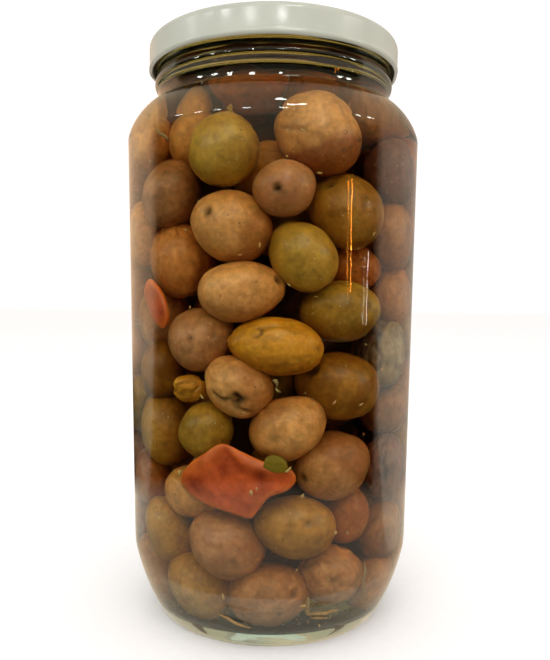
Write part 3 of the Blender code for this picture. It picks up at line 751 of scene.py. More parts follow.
def olive_skin(kind, olives):
    """Skin of a cured olive: smooth, satin, mottled, with pale pores, a brown stem scar, and
    painted shade in its creases and on the lower side of some olives.
    """
    light, dark, ripe = (linear(code) for code in KINDS[kind])
    made, tree = new_material("cured_olive_skin_" + kind)
    where = node(tree, "TexCoord").outputs["Object"]
    own = node(tree, "Attribute", attribute_name="olive_place").outputs["Vector"]
    facts = node(tree, "Attribute", attribute_name="skin").outputs["Vector"]
    fact = node(tree, "SeparateXYZ", (facts,))
    wrinkled = node(tree, "Attribute", attribute_name="wrinkle").outputs["Fac"]
    # Ripeness drifts over about 9 mm, the mottling is about 1.5 mm, and pores are 2 mm apart.
    drift = node(tree, "TexNoise", {
        "Vector": where, "Scale": 1 / (9 * MM), "Detail": 3.0, "Roughness": 0.6,
    })
    mottle = node(tree, "TexNoise", {
        "Vector": where, "Scale": 1 / (1.5 * MM), "Detail": 3.0, "Roughness": 0.6,
    })
    pores = node(tree, "TexVoronoi", {"Vector": where, "Scale": 1 / (1.9 * MM)})
    swing = node(tree, "MapRange", (drift, *NOISE, -0.42, 0.42))
    tone = node(tree, "Math", (fact.outputs["X"], swing), operation="ADD", use_clamp=True)
    base = node(tree, "Mix", {0: tone, 6: light, 7: dark}, data_type="RGBA")
    # The ripe colour comes in on a side that is partly riper skin and partly painted shade, where
    # the side faces down.
    riper = node(tree, "Mix", {0: fact.outputs["Y"], 6: base, 7: ripe}, data_type="RGBA")
    # Stretched noise along the olive gives the streaks of a shrunken skin.
    lengthways = node(tree, "Mapping", {"Vector": own, "Scale": (1.0, 1.0, 0.22)})
    streaks = node(tree, "TexNoise", {
        "Vector": lengthways, "Scale": 1 / (1.8 * MM), "Detail": 2.0, "Distortion": 0.4,
    })
    streak = node(tree, "MapRange", (streaks, 0.42, 0.62, 0.0, 0.55))
    streaked = node(tree, "Math", (streak, wrinkled), operation="MULTIPLY", use_clamp=True)
    paler = node(tree, "Mix", {0: streaked, 6: riper, 7: light}, data_type="RGBA")
    # Handling and curing leave darker bruises about 4 mm across.
    bruises = node(tree, "TexNoise", {
        "Vector": where, "Scale": 1 / (4 * MM), "Detail": 2.0, "Distortion": 0.6,
    })
    bruise = node(tree, "MapRange", (bruises, 0.46, 0.66, 1.04, 0.80))
    shade = node(tree, "MapRange", (mottle, *NOISE, 0.78, 1.16))
    shaded = node(tree, "Math", (shade, bruise), operation="MULTIPLY")
    mottled = node(tree, "HueSaturation", {"Value": shaded, "Color": paler})
    # One pore in four shows, as a dot about 0.4 mm across.
    dot = node(tree, "MapRange", (pores, 0.16, 0.07, 0.0, 0.5))
    chosen = node(tree, "SeparateXYZ", (pores.outputs["Color"],)).outputs["X"]
    few = node(tree, "Math", (chosen, 0.75), operation="GREATER_THAN")
    pore = node(tree, "Math", (dot, few), operation="MULTIPLY")
    dotted = node(tree, "Mix", {0: pore, 6: mottled, 7: olives.speck}, data_type="RGBA")
    # One in six of the cells of a second pattern has a dark pit.
    cells = node(tree, "TexVoronoi", {"Vector": where, "Scale": 1 / (2.4 * MM)})
    pitted = node(tree, "SeparateXYZ", (cells.outputs["Color"],)).outputs["Y"]
    rare = node(tree, "Math", (pitted, 0.84), operation="GREATER_THAN")
    hollow = node(tree, "MapRange", (cells, 0.16, 0.06, 0.0, 0.65))
    pit = node(tree, "Math", (hollow, rare), operation="MULTIPLY")
    # The scar colour also darkens the creases, as painted shade.
    scar = node(tree, "Math", (pit, fact.outputs["Z"]), operation="MAXIMUM")
    scarred = node(tree, "Mix", {0: scar, 6: dotted, 7: olives.dent}, data_type="RGBA")
    pebble = node(tree, "Bump", {"Strength": 0.25, "Distance": 0.08 * MM, "Height": mottle})
    fold = node(tree, "Math", (streaks, wrinkled), operation="MULTIPLY")
    folds = node(tree, "Bump", {
        "Strength": 0.8, "Distance": 0.7 * MM, "Height": fold, "Normal": pebble,
    })
    shader = node(tree, "BsdfPrincipled", {
        "Base Color": scarred, "Roughness": 0.32, "IOR": WET_IOR,
        "Subsurface Weight": 0.12, "Subsurface Scale": 2 * MM, "Normal": folds,
    })
    node(tree, "OutputMaterial", {"Surface": shader})
    return made


def dark_brine_core():
    """Painted shade: a dark brown fill in the middle of the jar, where the brine and the fruit let
    no light back.
    """
    made, tree = new_material("painted_shade_between_olives")
    where = node(tree, "TexCoord").outputs["Object"]
    murk = node(tree, "TexNoise", {"Vector": where, "Scale": 1 / (8 * MM)})
    tone = node(tree, "Mix", {0: murk, 6: linear("#4A2A14"), 7: linear("#6A3D1C")},
                data_type="RGBA")
    shader = node(tree, "BsdfPrincipled", {"Base Color": tone, "Roughness": 0.8, "IOR": 1.3})
    node(tree, "OutputMaterial", {"Surface": shader})
    return made


def pepper_flesh(pepper):
    """Roasted red pepper: soft, wet and a little see-through, with painted light that brightens
    its thin edges.
    """
    made, tree = new_material("pickled_red_pepper")
    where = node(tree, "TexCoord").outputs["Object"]
    thin = node(tree, "Attribute", attribute_name="thinness").outputs["Fac"]
    # Fibres under the skin are about 1 mm apart, and the colour drifts over about 7 mm.
    drift = node(tree, "TexNoise", {"Vector": where, "Scale": 1 / (7 * MM), "Detail": 3.0})
    fibres = node(tree, "TexNoise", {
        "Vector": where, "Scale": 1 / (1.1 * MM), "Detail": 3.0, "Roughness": 0.6,
    })
    depth = node(tree, "MapRange", (drift, 0.4, 0.68, 0.0, 0.7))
    body = node(tree, "Mix", {0: depth, 6: pepper.flesh, 7: pepper.deep}, data_type="RGBA")
    # The thin edge is painted brighter, as painted light shining through the flesh.
    lit = node(tree, "Mix", {0: thin, 6: body, 7: pepper.edge}, data_type="RGBA")
    shade = node(tree, "MapRange", (fibres, *NOISE, 0.86, 1.12))
    toned = node(tree, "HueSaturation", {"Value": shade, "Color": lit})
    skin = node(tree, "Bump", {"Strength": 0.35, "Distance": 0.15 * MM, "Height": fibres})
    shader = node(tree, "BsdfPrincipled", {
        "Base Color": toned, "Roughness": 0.33, "IOR": WET_IOR,
        "Subsurface Weight": 0.25, "Subsurface Scale": 2 * MM, "Normal": skin,
    })
    node(tree, "OutputMaterial", {"Surface": shader})
    return made


def soaked_plant(name, colour, other):
    """A leaf, twig or crumb that has lain in brine: dull, with darker veins and bruises."""
    made, tree = new_material(name)
    where = node(tree, "TexCoord").outputs["Object"]
    # Veins and bruises are about 0.8 mm apart.
    veins = node(tree, "TexNoise", {"Vector": where, "Scale": 1 / (0.8 * MM), "Detail": 3.0})
    tone = node(tree, "Mix", {0: veins, 6: colour, 7: linear(other)}, data_type="RGBA")
    skin = node(tree, "Bump", {"Strength": 0.4, "Distance": 0.1 * MM, "Height": veins})
    shader = node(tree, "BsdfPrincipled", {
        "Base Color": tone, "Roughness": 0.55, "IOR": 1.3, "Normal": skin,
    })
    node(tree, "OutputMaterial", {"Surface": shader})
    return made


def air_in_brine():
    """An air bubble, seen from inside water: its edge mirrors, and its middle is clear."""
    made, tree = new_material("air_in_brine")
    node(tree, "OutputMaterial", {"Surface": see_through(tree, CLEAR, 1 / BRINE_IOR)})
    return made


def matt_paper(name, colour):
    """Matt background paper on a roll."""
    made, tree = new_material(name)
    where = node(tree, "TexCoord").outputs["Object"]
    # Paper fibres are drawn 3 mm apart, which is coarser than real, so that they show.
    fibres = node(tree, "TexNoise", {"Vector": where, "Scale": 1 / (3 * MM)})
    shade = node(tree, "MapRange", (fibres, *NOISE, 0.99, 1.01))
    toned = node(tree, "HueSaturation", {"Value": shade, "Color": colour})
    shader = node(tree, "BsdfPrincipled", {"Base Color": toned, "Roughness": 0.9})
    node(tree, "OutputMaterial", {"Surface": shader})
    return made


def black_cloth():
    """Matt black cloth that lets scattered light by, so that it darkens only reflections."""
    made, tree = new_material("black_cloth")
    cloth = node(tree, "BsdfDiffuse", {"Color": linear("#0C0A09")})
    gone = node(tree, "BsdfTransparent", {"Color": CLEAR})
    ray = node(tree, "LightPath").outputs["Diffuse Depth"]
    scattered = node(tree, "Math", (ray, 0.5), operation="GREATER_THAN")
    mix = node(tree, "MixShader", (scattered, cloth, gone))
    node(tree, "OutputMaterial", {"Surface": mix})
    return made


# How the olives are packed. This repeats the CAD model's own packing, and the two agree to a
# fraction of a millimetre.


class Olive:
    """One olive as a place, a direction along its length, its two sizes and its looks."""

    def __init__(self, place, along, length, width, yields):
        self.place = np.array(place, float)
        self.along = np.array(along, float) / np.linalg.norm(along)
        self.length = length
        self.width = width
        self.yields = yields
        self.kind = "tan"
        self.tone = 0.5
        self.wrinkle = 0.0


def on_wall(degrees, height, radius):
    turn = math.radians(degrees)
    return np.array((radius * math.sin(turn), -radius * math.cos(turn), height))


def wrapped(angle, radius, height):
    """Points at these angles round the jar, distances from its axis and heights."""
    return np.stack((radius * np.sin(angle), -radius * np.cos(angle), height), axis=1)


def placed_olives(glass):
    """The olives seen from the front, whose length lies across the view."""
    olives = []
    for degrees, height, length, width, lean, depth, kind, tone, wrinkle in PLACED_OLIVES:
        tilt = math.radians(lean)
        along = (math.sin(tilt), 0.0, math.cos(tilt))
        radius = glass.body_radius - glass.wall - WALL_GAP - (width / 2 + depth) * MM
        spot = on_wall(degrees, height * MM, radius)
        olive = Olive(spot, along, length * MM, width * MM, SHOWN_YIELD)
        olive.kind, olive.tone, olive.wrinkle = kind, tone, wrinkle
        olives.append(olive)
    return olives


def filling_olives(glass):
    """The olives round the sides and the back and in the middle, drawn from one seed."""
    draw = random.Random(FILL_SEED)
    looks = random.Random(LOOKS_SEED)
    olives = []
    for row in range(ROW_COUNT):
        height = ROW_FIRST + ROW_STEP * row
        shift = 0.5 * (row % 2)
        side_step = (SIDE_TO - SIDE_FROM) / SIDE_COUNT
        side_radius = (glass.body_radius - glass.wall) / MM - SIDE_INSET
        spots = [(SIDE_FROM + side_step * (k + shift), side_radius) for k in range(SIDE_COUNT)]
        spots += [
            (360.0 / MIDDLE_COUNT * (k + shift), MIDDLE_RADIUS)
            for k in range(MIDDLE_COUNT)
        ]
        for degrees, radius in spots:
            degrees += draw.uniform(-ANGLE_SPREAD, ANGLE_SPREAD)
            length = draw.uniform(*OLIVE_LENGTH)
            width = length * draw.uniform(*OLIVE_SLIMNESS)
            lean = math.radians(draw.uniform(-LEAN_SPREAD, LEAN_SPREAD))
            turn = math.radians(degrees + draw.uniform(-TURN_SPREAD, TURN_SPREAD))
            lift = draw.uniform(-HEIGHT_SPREAD, HEIGHT_SPREAD)
            spot = on_wall(degrees, height + lift, radius) * MM
            along = (
                math.sin(lean) * math.cos(turn),
                math.sin(lean) * math.sin(turn),
                math.cos(lean),
            )
            olive = Olive(spot, along, length * MM, width * MM, 1.0)
            olive.kind = looks.choice(FILL_KINDS)
            olive.tone = looks.uniform(*TONE_SPREAD)
            olive.wrinkle = max(0.0, looks.uniform(*WRINKLE_SPREAD))
            olives.append(olive)
    return olives


def pepper_guards(glass):
    """Small balls that fill the pepper pieces, which the olives are kept clear of."""
    balls = []
    radius = glass.body_radius - glass.wall - PEPPER_GAP - PEPPER_DEPTH / 2
    for outline in (FRONT_PEPPER, LEFT_PEPPER):
        middle = np.mean(outline, axis=0)
        for share in GUARD_RINGS:
            for degrees, height in outline:
                spot = middle + share * (np.array((degrees, height)) - middle)
                balls.append(on_wall(spot[0], spot[1] * MM, radius))
    return np.array(balls)


def settle(olives, guards, glass):
    """Moves the olives apart and inside the glass. Each counts as three balls in a row."""
    inside = resampled(inner_profile(glass, PACKED_STEPS), PACKED_SPACING)
    size = np.array([(olive.length / 2, olive.width / 2) for olive in olives])
    tip = size[:, 1] ** 2 / size[:, 0]
    balls = np.stack((tip, size[:, 1], tip), axis=1).reshape(-1)
    offset = np.stack((tip - size[:, 0], np.zeros(len(olives)), size[:, 0] - tip), axis=1)
    along = np.array([olive.along for olive in olives])
    rows = offset[:, :, None] * along[:, None, :]
    places = np.array([olive.place for olive in olives])
    homes = places.copy()
    homing = np.array([HOMING if olive.yields < 1 else 0.0 for olive in olives])[:, None]
    owner = np.repeat(np.arange(len(olives)), 3)
    apart = owner[:, None] != owner[None, :]
    yields = np.repeat([olive.yields for olive in olives], 3)
    share = yields[:, None] / (yields[:, None] + yields[None, :])
    guard_ball = PEPPER_DEPTH / 2 + PEPPER_CLEAR
    for _ in range(SETTLE_ROUNDS):
        places += homing * (homes - places)
        centres = (places[:, None, :] + rows).reshape(-1, 3)
        away, overlap = overlaps(centres, balls, centres, balls)
        pushes = away * (np.where(apart, overlap, 0) * share)[:, :, None]
        places += SETTLE_STEP * pushes.sum(axis=1).reshape(-1, 3, 3).sum(axis=1)
        centres = (places[:, None, :] + rows).reshape(-1, 3)
        away, overlap = overlaps(centres, balls, guards, np.full(len(guards), guard_ball))
        nearest = (np.arange(len(centres)), overlap.argmax(axis=1))
        places += largest(away[nearest] * overlap[nearest][:, None])
        centres = (places[:, None, :] + rows).reshape(-1, 3)
        moves = [back_inside(*pair, inside, glass) for pair in zip(centres, balls)]
        places += largest(np.array(moves))
    for olive, place in zip(olives, places):
        olive.place = place


def overlaps(centres, balls, others, other_balls):
    """The direction from every other ball to each ball, and how deep the two overlap."""
    away = centres[:, None, :] - others[None, :, :]
    distance = np.linalg.norm(away, axis=2) + 1e-12
    deep = np.maximum(balls[:, None] + other_balls[None, :] - distance, 0)
    return away / distance[:, :, None], deep


def largest(moves):
    """For each olive, the largest of the moves that its three balls ask for."""
    moves = moves.reshape(-1, 3, 3)
    pick_one = np.linalg.norm(moves, axis=2).argmax(axis=1)
    return moves[np.arange(len(moves)), pick_one]


def back_inside(centre, ball, inside, glass):
    """The move that brings a ball back inside the glass and under the top of the filling."""
    radius = math.hypot(centre[0], centre[1]) + 1e-12
    height = min(max(centre[2], glass.floor_middle + WALL_GAP + ball), FILL_TOP - ball)
    reach = (ball + WALL_GAP) ** 2 - (inside[:, 1] - height) ** 2
    near = (reach > 0) & (inside[:, 0] > radius / 2)
    room = (inside[near, 0] - np.sqrt(reach[near])).min() if near.any() else radius
    pull = min(room - radius, 0.0) / radius
    return np.array((centre[0] * pull, centre[1] * pull, height - centre[2]))


# The olives' own shapes


BLANK_END = 0.96  # the end of the ball that is drawn out, how far, and how much follows
BLANK_PULL = 0.035
BLANK_REACH = 0.6
NEARER = (1.0, 0.94, 0.88, 0.8, 0.7, 0.6, 0.4)  # tried for a point outside an olive's outline
HOLLOW_SIZE = 8.0 * MM  # the broad hollows, which rise less than they sink
HOLLOW_RISE = 0.25
PUCKER_SIZE = 3.5 * MM
PUCKER_SHARE = 0.4
GROOVE_SIZE = 3.6 * MM  # the grooves of a wrinkled skin, drawn out along the olive
GROOVE_STRETCH = np.array((1.0, 1.0, 0.4))
GROOVE_WIDTH = 0.22
WRINKLED = 0.05  # from here on an olive has grooves, and from the next also deep hollows
SHRIVELLED = 0.7
SHRIVEL_SIZE = 6.0 * MM
SHRIVEL_DEPTH = 1.6
STEM_SCAR = (1.9 * MM, 0.8 * MM, 0.7)  # radius, depth and darkness where no dent is given
DENT_FADE = 1.5
RIPE_EDGE = 1.8  # how ragged the edge of a side painted ripe and shaded is, in millimetres, and how large its tongues
RIPE_TONGUE = 4.0 * MM
RIPE_WIDTH = 3.0
RIPE_LEAD = 0.3
TIP_PLACE = (0, 0, 1.035)  # on the blank
TIP_WIDTH = 0.26
TIP_DARKNESS = 0.35
PATTERN_STEP = 40 * MM  # from one olive's streaks to the next one's


def olive_blank(name, sides):
    """A ball drawn out a little at its blossom end, from which every olive is copied."""
    deselect()
    bpy.ops.mesh.primitive_uv_sphere_add(segments=sides, ring_count=sides // 2, radius=1.0)
    blank = bpy.context.object
    blank.name = name
    bpy.ops.object.mode_set(mode="EDIT")
    pick(blank, lambda place: place.z > BLANK_END)
    bpy.ops.transform.translate(
        value=(0, 0, BLANK_PULL), use_proportional_edit=True,
        proportional_edit_falloff="SMOOTH", proportional_size=BLANK_REACH,
    )
    bpy.ops.object.mode_set(mode="OBJECT")
    blank.data.shade_smooth()
    return blank


def turn_of(olive):
    turn = Vector((0, 0, 1)).rotation_difference(Vector(olive.along)).to_matrix()
    return np.array(turn)


def seen_point(olive, turn, right, up):
    """The point of an olive's front that shows this far right and up of its middle."""
    size = np.array((olive.width, olive.width, olive.length)) / 2
    for shrink in NEARER:
        aside = turn.T @ np.array((right * shrink, 0.0, up * shrink)) / size
        ahead = turn.T @ np.array((0.0, 1.0, 0.0)) / size
        a, b, c = ahead @ ahead, 2 * ahead @ aside, aside @ aside - 1
        if b * b > 4 * a * c:
            depth = (-b - math.sqrt(b * b - 4 * a * c)) / (2 * a)
            return np.array((right * shrink, depth, up * shrink))
    raise RuntimeError("a dent or crease lies outside its olive")


def line_distance(points, line):
    """How far each point is from a line through several points."""
    best = np.full(len(points), np.inf)
    for start, end in zip(line, line[1:]):
        way = end - start
        share = np.clip((points - start) @ way / (way @ way), 0, 1)
        best = np.minimum(best, np.linalg.norm(points - start - share[:, None] * way, axis=1))
    return best


def grown(blank, olive, number, sizes):
    """Copies the blank and gives the copy this olive's size, hollows, wrinkles and dents."""
    made = copy_of(blank, f"olive_{number}")
    ball = read_points(made.data)
    slim = 1.0 - TAPER * ball[:, 2] * np.abs(ball[:, 2])
    size = np.array((olive.width, olive.width, olive.length)) / 2
    local = ball * size
    local[:, :2] *= slim[:, None]
    out = local / size**2
    out /= np.linalg.norm(out, axis=1)[:, None]
    hollows = np.minimum(grain(local, HOLLOW_SIZE, number), HOLLOW_RISE)
    puckers = np.minimum(grain(local, PUCKER_SIZE, number + 50), 0)
    move = sizes.unevenness * (hollows + PUCKER_SHARE * puckers)
    if olive.wrinkle > WRINKLED:
        groove = np.abs(grain(local * GROOVE_STRETCH, GROOVE_SIZE, number + 90))
        groove = np.maximum(0.0, 1 - groove / GROOVE_WIDTH)
        move -= sizes.wrinkle_depth * olive.wrinkle * groove
        if olive.wrinkle > SHRIVELLED:
            deep = np.maximum(grain(local, SHRIVEL_SIZE, number + 7), 0)
            move -= SHRIVEL_DEPTH * sizes.wrinkle_depth * deep
    turn = turn_of(olive)
    around = local @ turn.T
    dark = np.zeros(len(local))
    ripe = np.zeros(len(local))
    dents = [dent[1:] for dent in DENTS if dent[0] == number and olive.yields < 1]
    for right, up, radius, depth, darkness in dents:
        spot = seen_point(olive, turn, right * MM, up * MM)
        near = np.clip(1 - (np.linalg.norm(around - spot, axis=1) / (radius * MM)) ** 2, 0, 1)
        move -= depth * MM * near**2
        dark = np.maximum(dark, darkness * near**DENT_FADE)
    if not dents:
        radius, depth, darkness = STEM_SCAR
        end = np.array((0, 0, -size[2]))
        near = np.clip(1 - (np.linalg.norm(local - end, axis=1) / radius) ** 2, 0, 1)
        move -= depth * near**2
        dark = np.maximum(dark, darkness * near**DENT_FADE)
    # Along a crease the skin is darkened as painted shade, besides being pressed in.
    for wanted, wide, depth, darkness, line in CREASES:
        if wanted == number and olive.yields < 1:
            spots = [seen_point(olive, turn, right * MM, up * MM) for right, up in line]
            near = np.exp(-((line_distance(around, spots) / (wide * MM / 2)) ** 2))
            move -= depth * MM * near
            dark = np.maximum(dark, darkness * near)
    # A side in the ripe colour: the olive's riper skin, and painted shade where the side faces
    # down.
    for wanted, right, up, start, strength in RIPE_SIDES:
        if wanted == number and olive.yields < 1:
            far = (around[:, 0] * right + around[:, 2] * up) / MM - start
            ragged = far + RIPE_EDGE * grain(local, RIPE_TONGUE, number + 30)
            ripe = np.maximum(ripe, strength * np.clip(ragged / RIPE_WIDTH + RIPE_LEAD, 0, 1))
    for wanted, tall in TIPS:
        if wanted == number and olive.yields < 1:
            near = np.clip(1 - np.linalg.norm(ball - TIP_PLACE, axis=1) / TIP_WIDTH, 0, 1)
            move += tall * MM * near**2
            dark = np.maximum(dark, TIP_DARKNESS * near)
    places = (local + out * move[:, None]) @ turn.T + olive.place
    write_points(made.data, places)
    skin = np.stack((np.full(len(local), olive.tone), ripe, dark), axis=1)
    add_attribute(made.data, "skin", "FLOAT_VECTOR", skin)
    add_attribute(made.data, "wrinkle", "FLOAT", np.full(len(local), olive.wrinkle))
    add_attribute(made.data, "olive_place", "FLOAT_VECTOR", local + number * PATTERN_STEP)
    return made


def inside_olive(spot, olives, spare):
    """True where a spot lies in an olive, or closer to one than this."""
    for olive in olives:
        away = spot - olive.place
        ahead = away @ olive.along
        aside = math.sqrt(max(away @ away - ahead * ahead, 0.0))
        half_length, half_width = olive.length / 2 + spare, olive.width / 2 + spare
        if (ahead / half_length) ** 2 + (aside / half_width) ** 2 < 1:
            return True
    return False


def packed_olives(glass):
    olives = placed_olives(glass) + filling_olives(glass)
    settle(olives, pepper_guards(glass), glass)
    return olives


# The pieces


class OLIVE_JAR_OT_glass(bpy.types.Operator):
    """Turns the glass jar from its profile"""

    bl_idname = "olive_jar.glass"
    bl_label = "Glass jar"

    def execute(self, context):
        glass = context.scene.jar_glass
        profile = inner_profile(glass, SHOULDER_STEPS) + outer_profile(glass, SHOULDER_STEPS)[::-1]
        jar = turned("jar_glass", profile, glass.sides)
        smoothed(jar)
        hand_over(jar, soda_lime_glass(glass), ["glass_jar"])
        return {"FINISHED"}


class OLIVE_JAR_OT_brine(bpy.types.Operator):
    """Fills the jar with brine, which reaches just into the glass"""

    bl_idname = "olive_jar.brine"
    bl_label = "Brine"

    def execute(self, context):
        glass, brine = context.scene.jar_glass, context.scene.jar_brine
        profile = []
        for radius, height in inner_profile(glass, SHOULDER_STEPS):
            if height < glass.floor_middle + FLOOR_BAND:
                profile.append((radius, height - brine.into_wall))
            elif height < brine.level:
                profile.append((radius + brine.into_wall, height))
        neck = glass.neck_radius - glass.neck_wall
        profile.append((neck + brine.into_wall, brine.level + MENISCUS_RISE))
        profile += [(neck - inward, brine.level + rise) for inward, rise in MENISCUS]
        profile.append((0.0, brine.level))
        liquid = turned("brine", profile, glass.sides)
        smoothed(liquid)
        hand_over(liquid, stained_brine(brine))
        return {"FINISHED"}


class OLIVE_JAR_OT_lid(bpy.types.Operator):
    """Turns the pressed steel lid and presses its lugs in"""

    bl_idname = "olive_jar.lid"
    bl_label = "Lid"

    def execute(self, context):
        lid = context.scene.jar_lid
        inner = lid.radius - lid.metal
        curl = lid.bottom + lid.curl_round
        ring = lid.top - lid.metal
        under = [
            (lid.panel_radius, ring - lid.panel_drop),
            (lid.panel_radius + PANEL_SLOPE, ring),
            (inner - lid.edge_round, ring),
            (inner - SKIRT_INSET, ring - lid.edge_round + SKIRT_INSET),
            (inner - SKIRT_INSET, curl + lid.curl_round),
            (inner - CURL_DEPTH, curl),
            (inner - CURL_LIP, lid.bottom + CURL_RISE),
            (lid.radius - lid.curl_round, lid.bottom),
            (lid.radius - CURL_RISE, lid.bottom + SKIRT_INSET),
            (lid.radius, curl),
            (lid.radius - SKIRT_INSET, curl + lid.curl_round),
        ]
        skirt = [(lid.radius - SKIRT_STEP, lid.top - lid.edge_round)]
        for degrees in range(15, 91, 15):
            turn = math.radians(degrees)
            skirt.append((
                lid.radius - SKIRT_STEP - lid.edge_round * (1 - math.cos(turn)),
                lid.top - lid.edge_round * (1 - math.sin(turn)),
            ))
        panel = [
            (lid.panel_radius + PANEL_STEP[0], lid.top),
            (lid.panel_radius + PANEL_STEP[1], lid.top - lid.panel_drop),
            (lid.panel_radius - PANEL_FLAT, lid.top - lid.panel_drop),
        ]
        profile = [(0.0, ring - lid.panel_drop)] + eased(under, 2) + skirt + eased(panel, 2)
        profile += [(radius, lid.top - lid.panel_drop + rise) for radius, rise in PANEL_CROWN]
        cap = turned("lid_cap", profile, LID_SIDES)
        points = read_points(cap.data)
        radius = np.hypot(points[:, 0], points[:, 1])
        angle = np.arctan2(points[:, 1], points[:, 0])
        low = np.clip((curl + HEM_HEIGHT - points[:, 2]) / HEM_FADE, 0, 1)
        low *= radius > inner - HEM_DEPTH
        lug = np.maximum(0.0, np.cos(angle * lid.lugs + LUG_TURN)) ** LUG_SHARPNESS
        points[:, :2] *= (1 - lid.hem_wave * lug * low / radius.clip(1 * MM))[:, None]
        rippled = lug + HEM_RIPPLE * np.sin(angle * HEM_RIPPLES)
        points[:, 2] += HEM_LIFT * lid.hem_wave * low * rippled
        write_points(cap.data, points)
        smoothed(cap)
        hand_over(cap, white_lacquer(lid), ["lid"])
        return {"FINISHED"}


class OLIVE_JAR_OT_olives(bpy.types.Operator):
    """Models one olive, copies and shapes it, and joins the olives of each kind"""

    bl_idname = "olive_jar.olives"
    bl_label = "Olives"

    def execute(self, context):
        sizes = context.scene.jar_olives
        olives = packed_olives(context.scene.jar_glass)
        fine = olive_blank("olive_blank_fine", sizes.sides)
        plain = olive_blank("olive_blank_plain", sizes.fill_sides)
        groups = {kind: [] for kind in KINDS}
        for number, olive in enumerate(olives):
            blank = fine if olive.yields < 1 else plain
            groups[olive.kind].append(grown(blank, olive, number, sizes))
        for blank in (fine, plain):
            bpy.data.objects.remove(blank)
        for kind, members in groups.items():
            if not members:
                raise RuntimeError("no olive is of the kind " + kind)
            heap = joined("olives_" + kind, members)
            hand_over(heap, olive_skin(kind, sizes), ["olives"])
        core = self.core()
        hand_over(core, dark_brine_core())
        return {"FINISHED"}

    def core(self):
        profile = eased([
            (0.0, CORE_TOP), (CORE_RADIUS * CORE_EDGE, CORE_TOP - CORE_DOME),
            (CORE_RADIUS, CORE_TOP - CORE_SHOULDER), (CORE_RADIUS, CORE_BOTTOM + CORE_FOOT),
            (CORE_RADIUS * CORE_EDGE, CORE_BOTTOM), (0.0, CORE_BOTTOM),
        ], 2)
        core = turned("olives_core", profile, CORE_SIDES)
        smoothed(core, CORE_SMOOTH_ANGLE)
        return core


def pepper_piece(name, outline, folds, sides):
    """A ball pressed flat: its equator takes the outline, and its front follows the glass."""
    glass = bpy.context.scene.jar_glass
    front = glass.body_radius - glass.wall - PEPPER_GAP
    deselect()
    bpy.ops.mesh.primitive_uv_sphere_add(segments=sides, ring_count=sides // 2, radius=1.0)
    piece = bpy.context.object
    piece.name = name
    select_whole()
    bpy.ops.transform.rotate(value=math.pi / 2, orient_axis="X", center_override=(0, 0, 0))
    bpy.ops.object.mode_set(mode="OBJECT")
    ball = read_points(piece.data)
    facing = -ball[:, 1]
    share = np.sqrt(np.clip(1 - facing**2, 0, 1)) ** PEPPER_FULLNESS
    turn = np.arctan2(ball[:, 2], ball[:, 0])
    middle = np.mean(outline, axis=0)
    edge = curve_round(outline, middle, turn)
    spots = middle + share[:, None] * (edge - middle)
    depth = PEPPER_DEPTH / 2 * (1 - np.sign(facing) * np.sqrt(np.clip(1 - share**4, 0, 1)))
    arc = np.stack((np.radians(spots[:, 0]) * front, spots[:, 1] * MM, 0 * share), axis=1)
    relief = sum(deep * grain(arc, size, seed) for deep, size, seed in PEPPER_RELIEF)
    deepest = np.zeros(len(ball))
    for height, wide, line in folds:
        path = [np.array((math.radians(a) * front, h * MM, 0.0)) for a, h in line]
        near = np.exp(-((line_distance(arc, path) / (wide * MM)) ** 2))
        relief += height * MM * near
        deepest = np.maximum(deepest, near * (height < 0))
    depth = np.clip(depth + (PEPPER_SINK - relief) * (1 - share**3), 0.0, PEPPER_DEPTH)
    radius = front - depth
    angle = np.radians(spots[:, 0])
    write_points(piece.data, wrapped(angle, radius, spots[:, 1] * MM))
    # Painted light: the edge is painted brighter, as if light shone through the thin flesh, and
    # the folds get none.
    thinness = np.clip(share**5 * 0.9 + 0.3 * grain(arc, 5 * MM, 21), 0, 1) * (1 - deepest)
    add_attribute(piece.data, "thinness", "FLOAT", thinness)
    select_whole()
    faced_out(piece)
    return piece


def curve_round(outline, middle, turn):
    """Where a smooth curve through the outline lies in each direction from its middle."""
    knots = np.array(outline, float)
    count = len(knots)
    dense = []
    for k in range(count):
        a, b, c, d = (knots[(k + step) % count] for step in (-1, 0, 1, 2))
        for t in np.linspace(0, 1, CURVE_STEPS, endpoint=False):
            dense.append(0.5 * (
                2 * b + (c - a) * t + (2 * a - 5 * b + 4 * c - d) * t**2
                + (3 * b - a - 3 * c + d) * t**3
            ))
    dense = np.array(dense)
    ways = (dense - middle) * np.array((DEGREE_ROUND, 1.0))
    angles = np.arctan2(ways[:, 1], ways[:, 0])
    order = np.argsort(angles)
    ring = np.concatenate((angles[order] - math.tau, angles[order], angles[order] + math.tau))
    values = np.tile(dense[order], (3, 1))
    return np.stack((np.interp(turn, ring, values[:, 0]), np.interp(turn, ring, values[:, 1])),
                    axis=1)


class OLIVE_JAR_OT_pepper(bpy.types.Operator):
    """Presses the two pieces of red pepper against the glass"""

    bl_idname = "olive_jar.pepper"
    bl_label = "Red pepper"

    def execute(self, context):
        pepper = context.scene.jar_pepper
        finish = pepper_flesh(pepper)
        front = pepper_piece("pepper_front", FRONT_PEPPER, PEPPER_FOLDS, pepper.sides)
        hand_over(front, finish, ["red_pepper_front"])
        left = pepper_piece("pepper_left", LEFT_PEPPER, (), pepper.sides // 2)
        hand_over(left, finish, ["red_pepper_left"])
        return {"FINISHED"}


def small_ball(subdivisions):
    """A ball in edit mode with all of it selected, from which crumbs or bubbles are copied."""
    deselect()
    bpy.ops.mesh.primitive_ico_sphere_add(subdivisions=subdivisions, radius=1.0)
    select_whole()
    return bpy.context.object


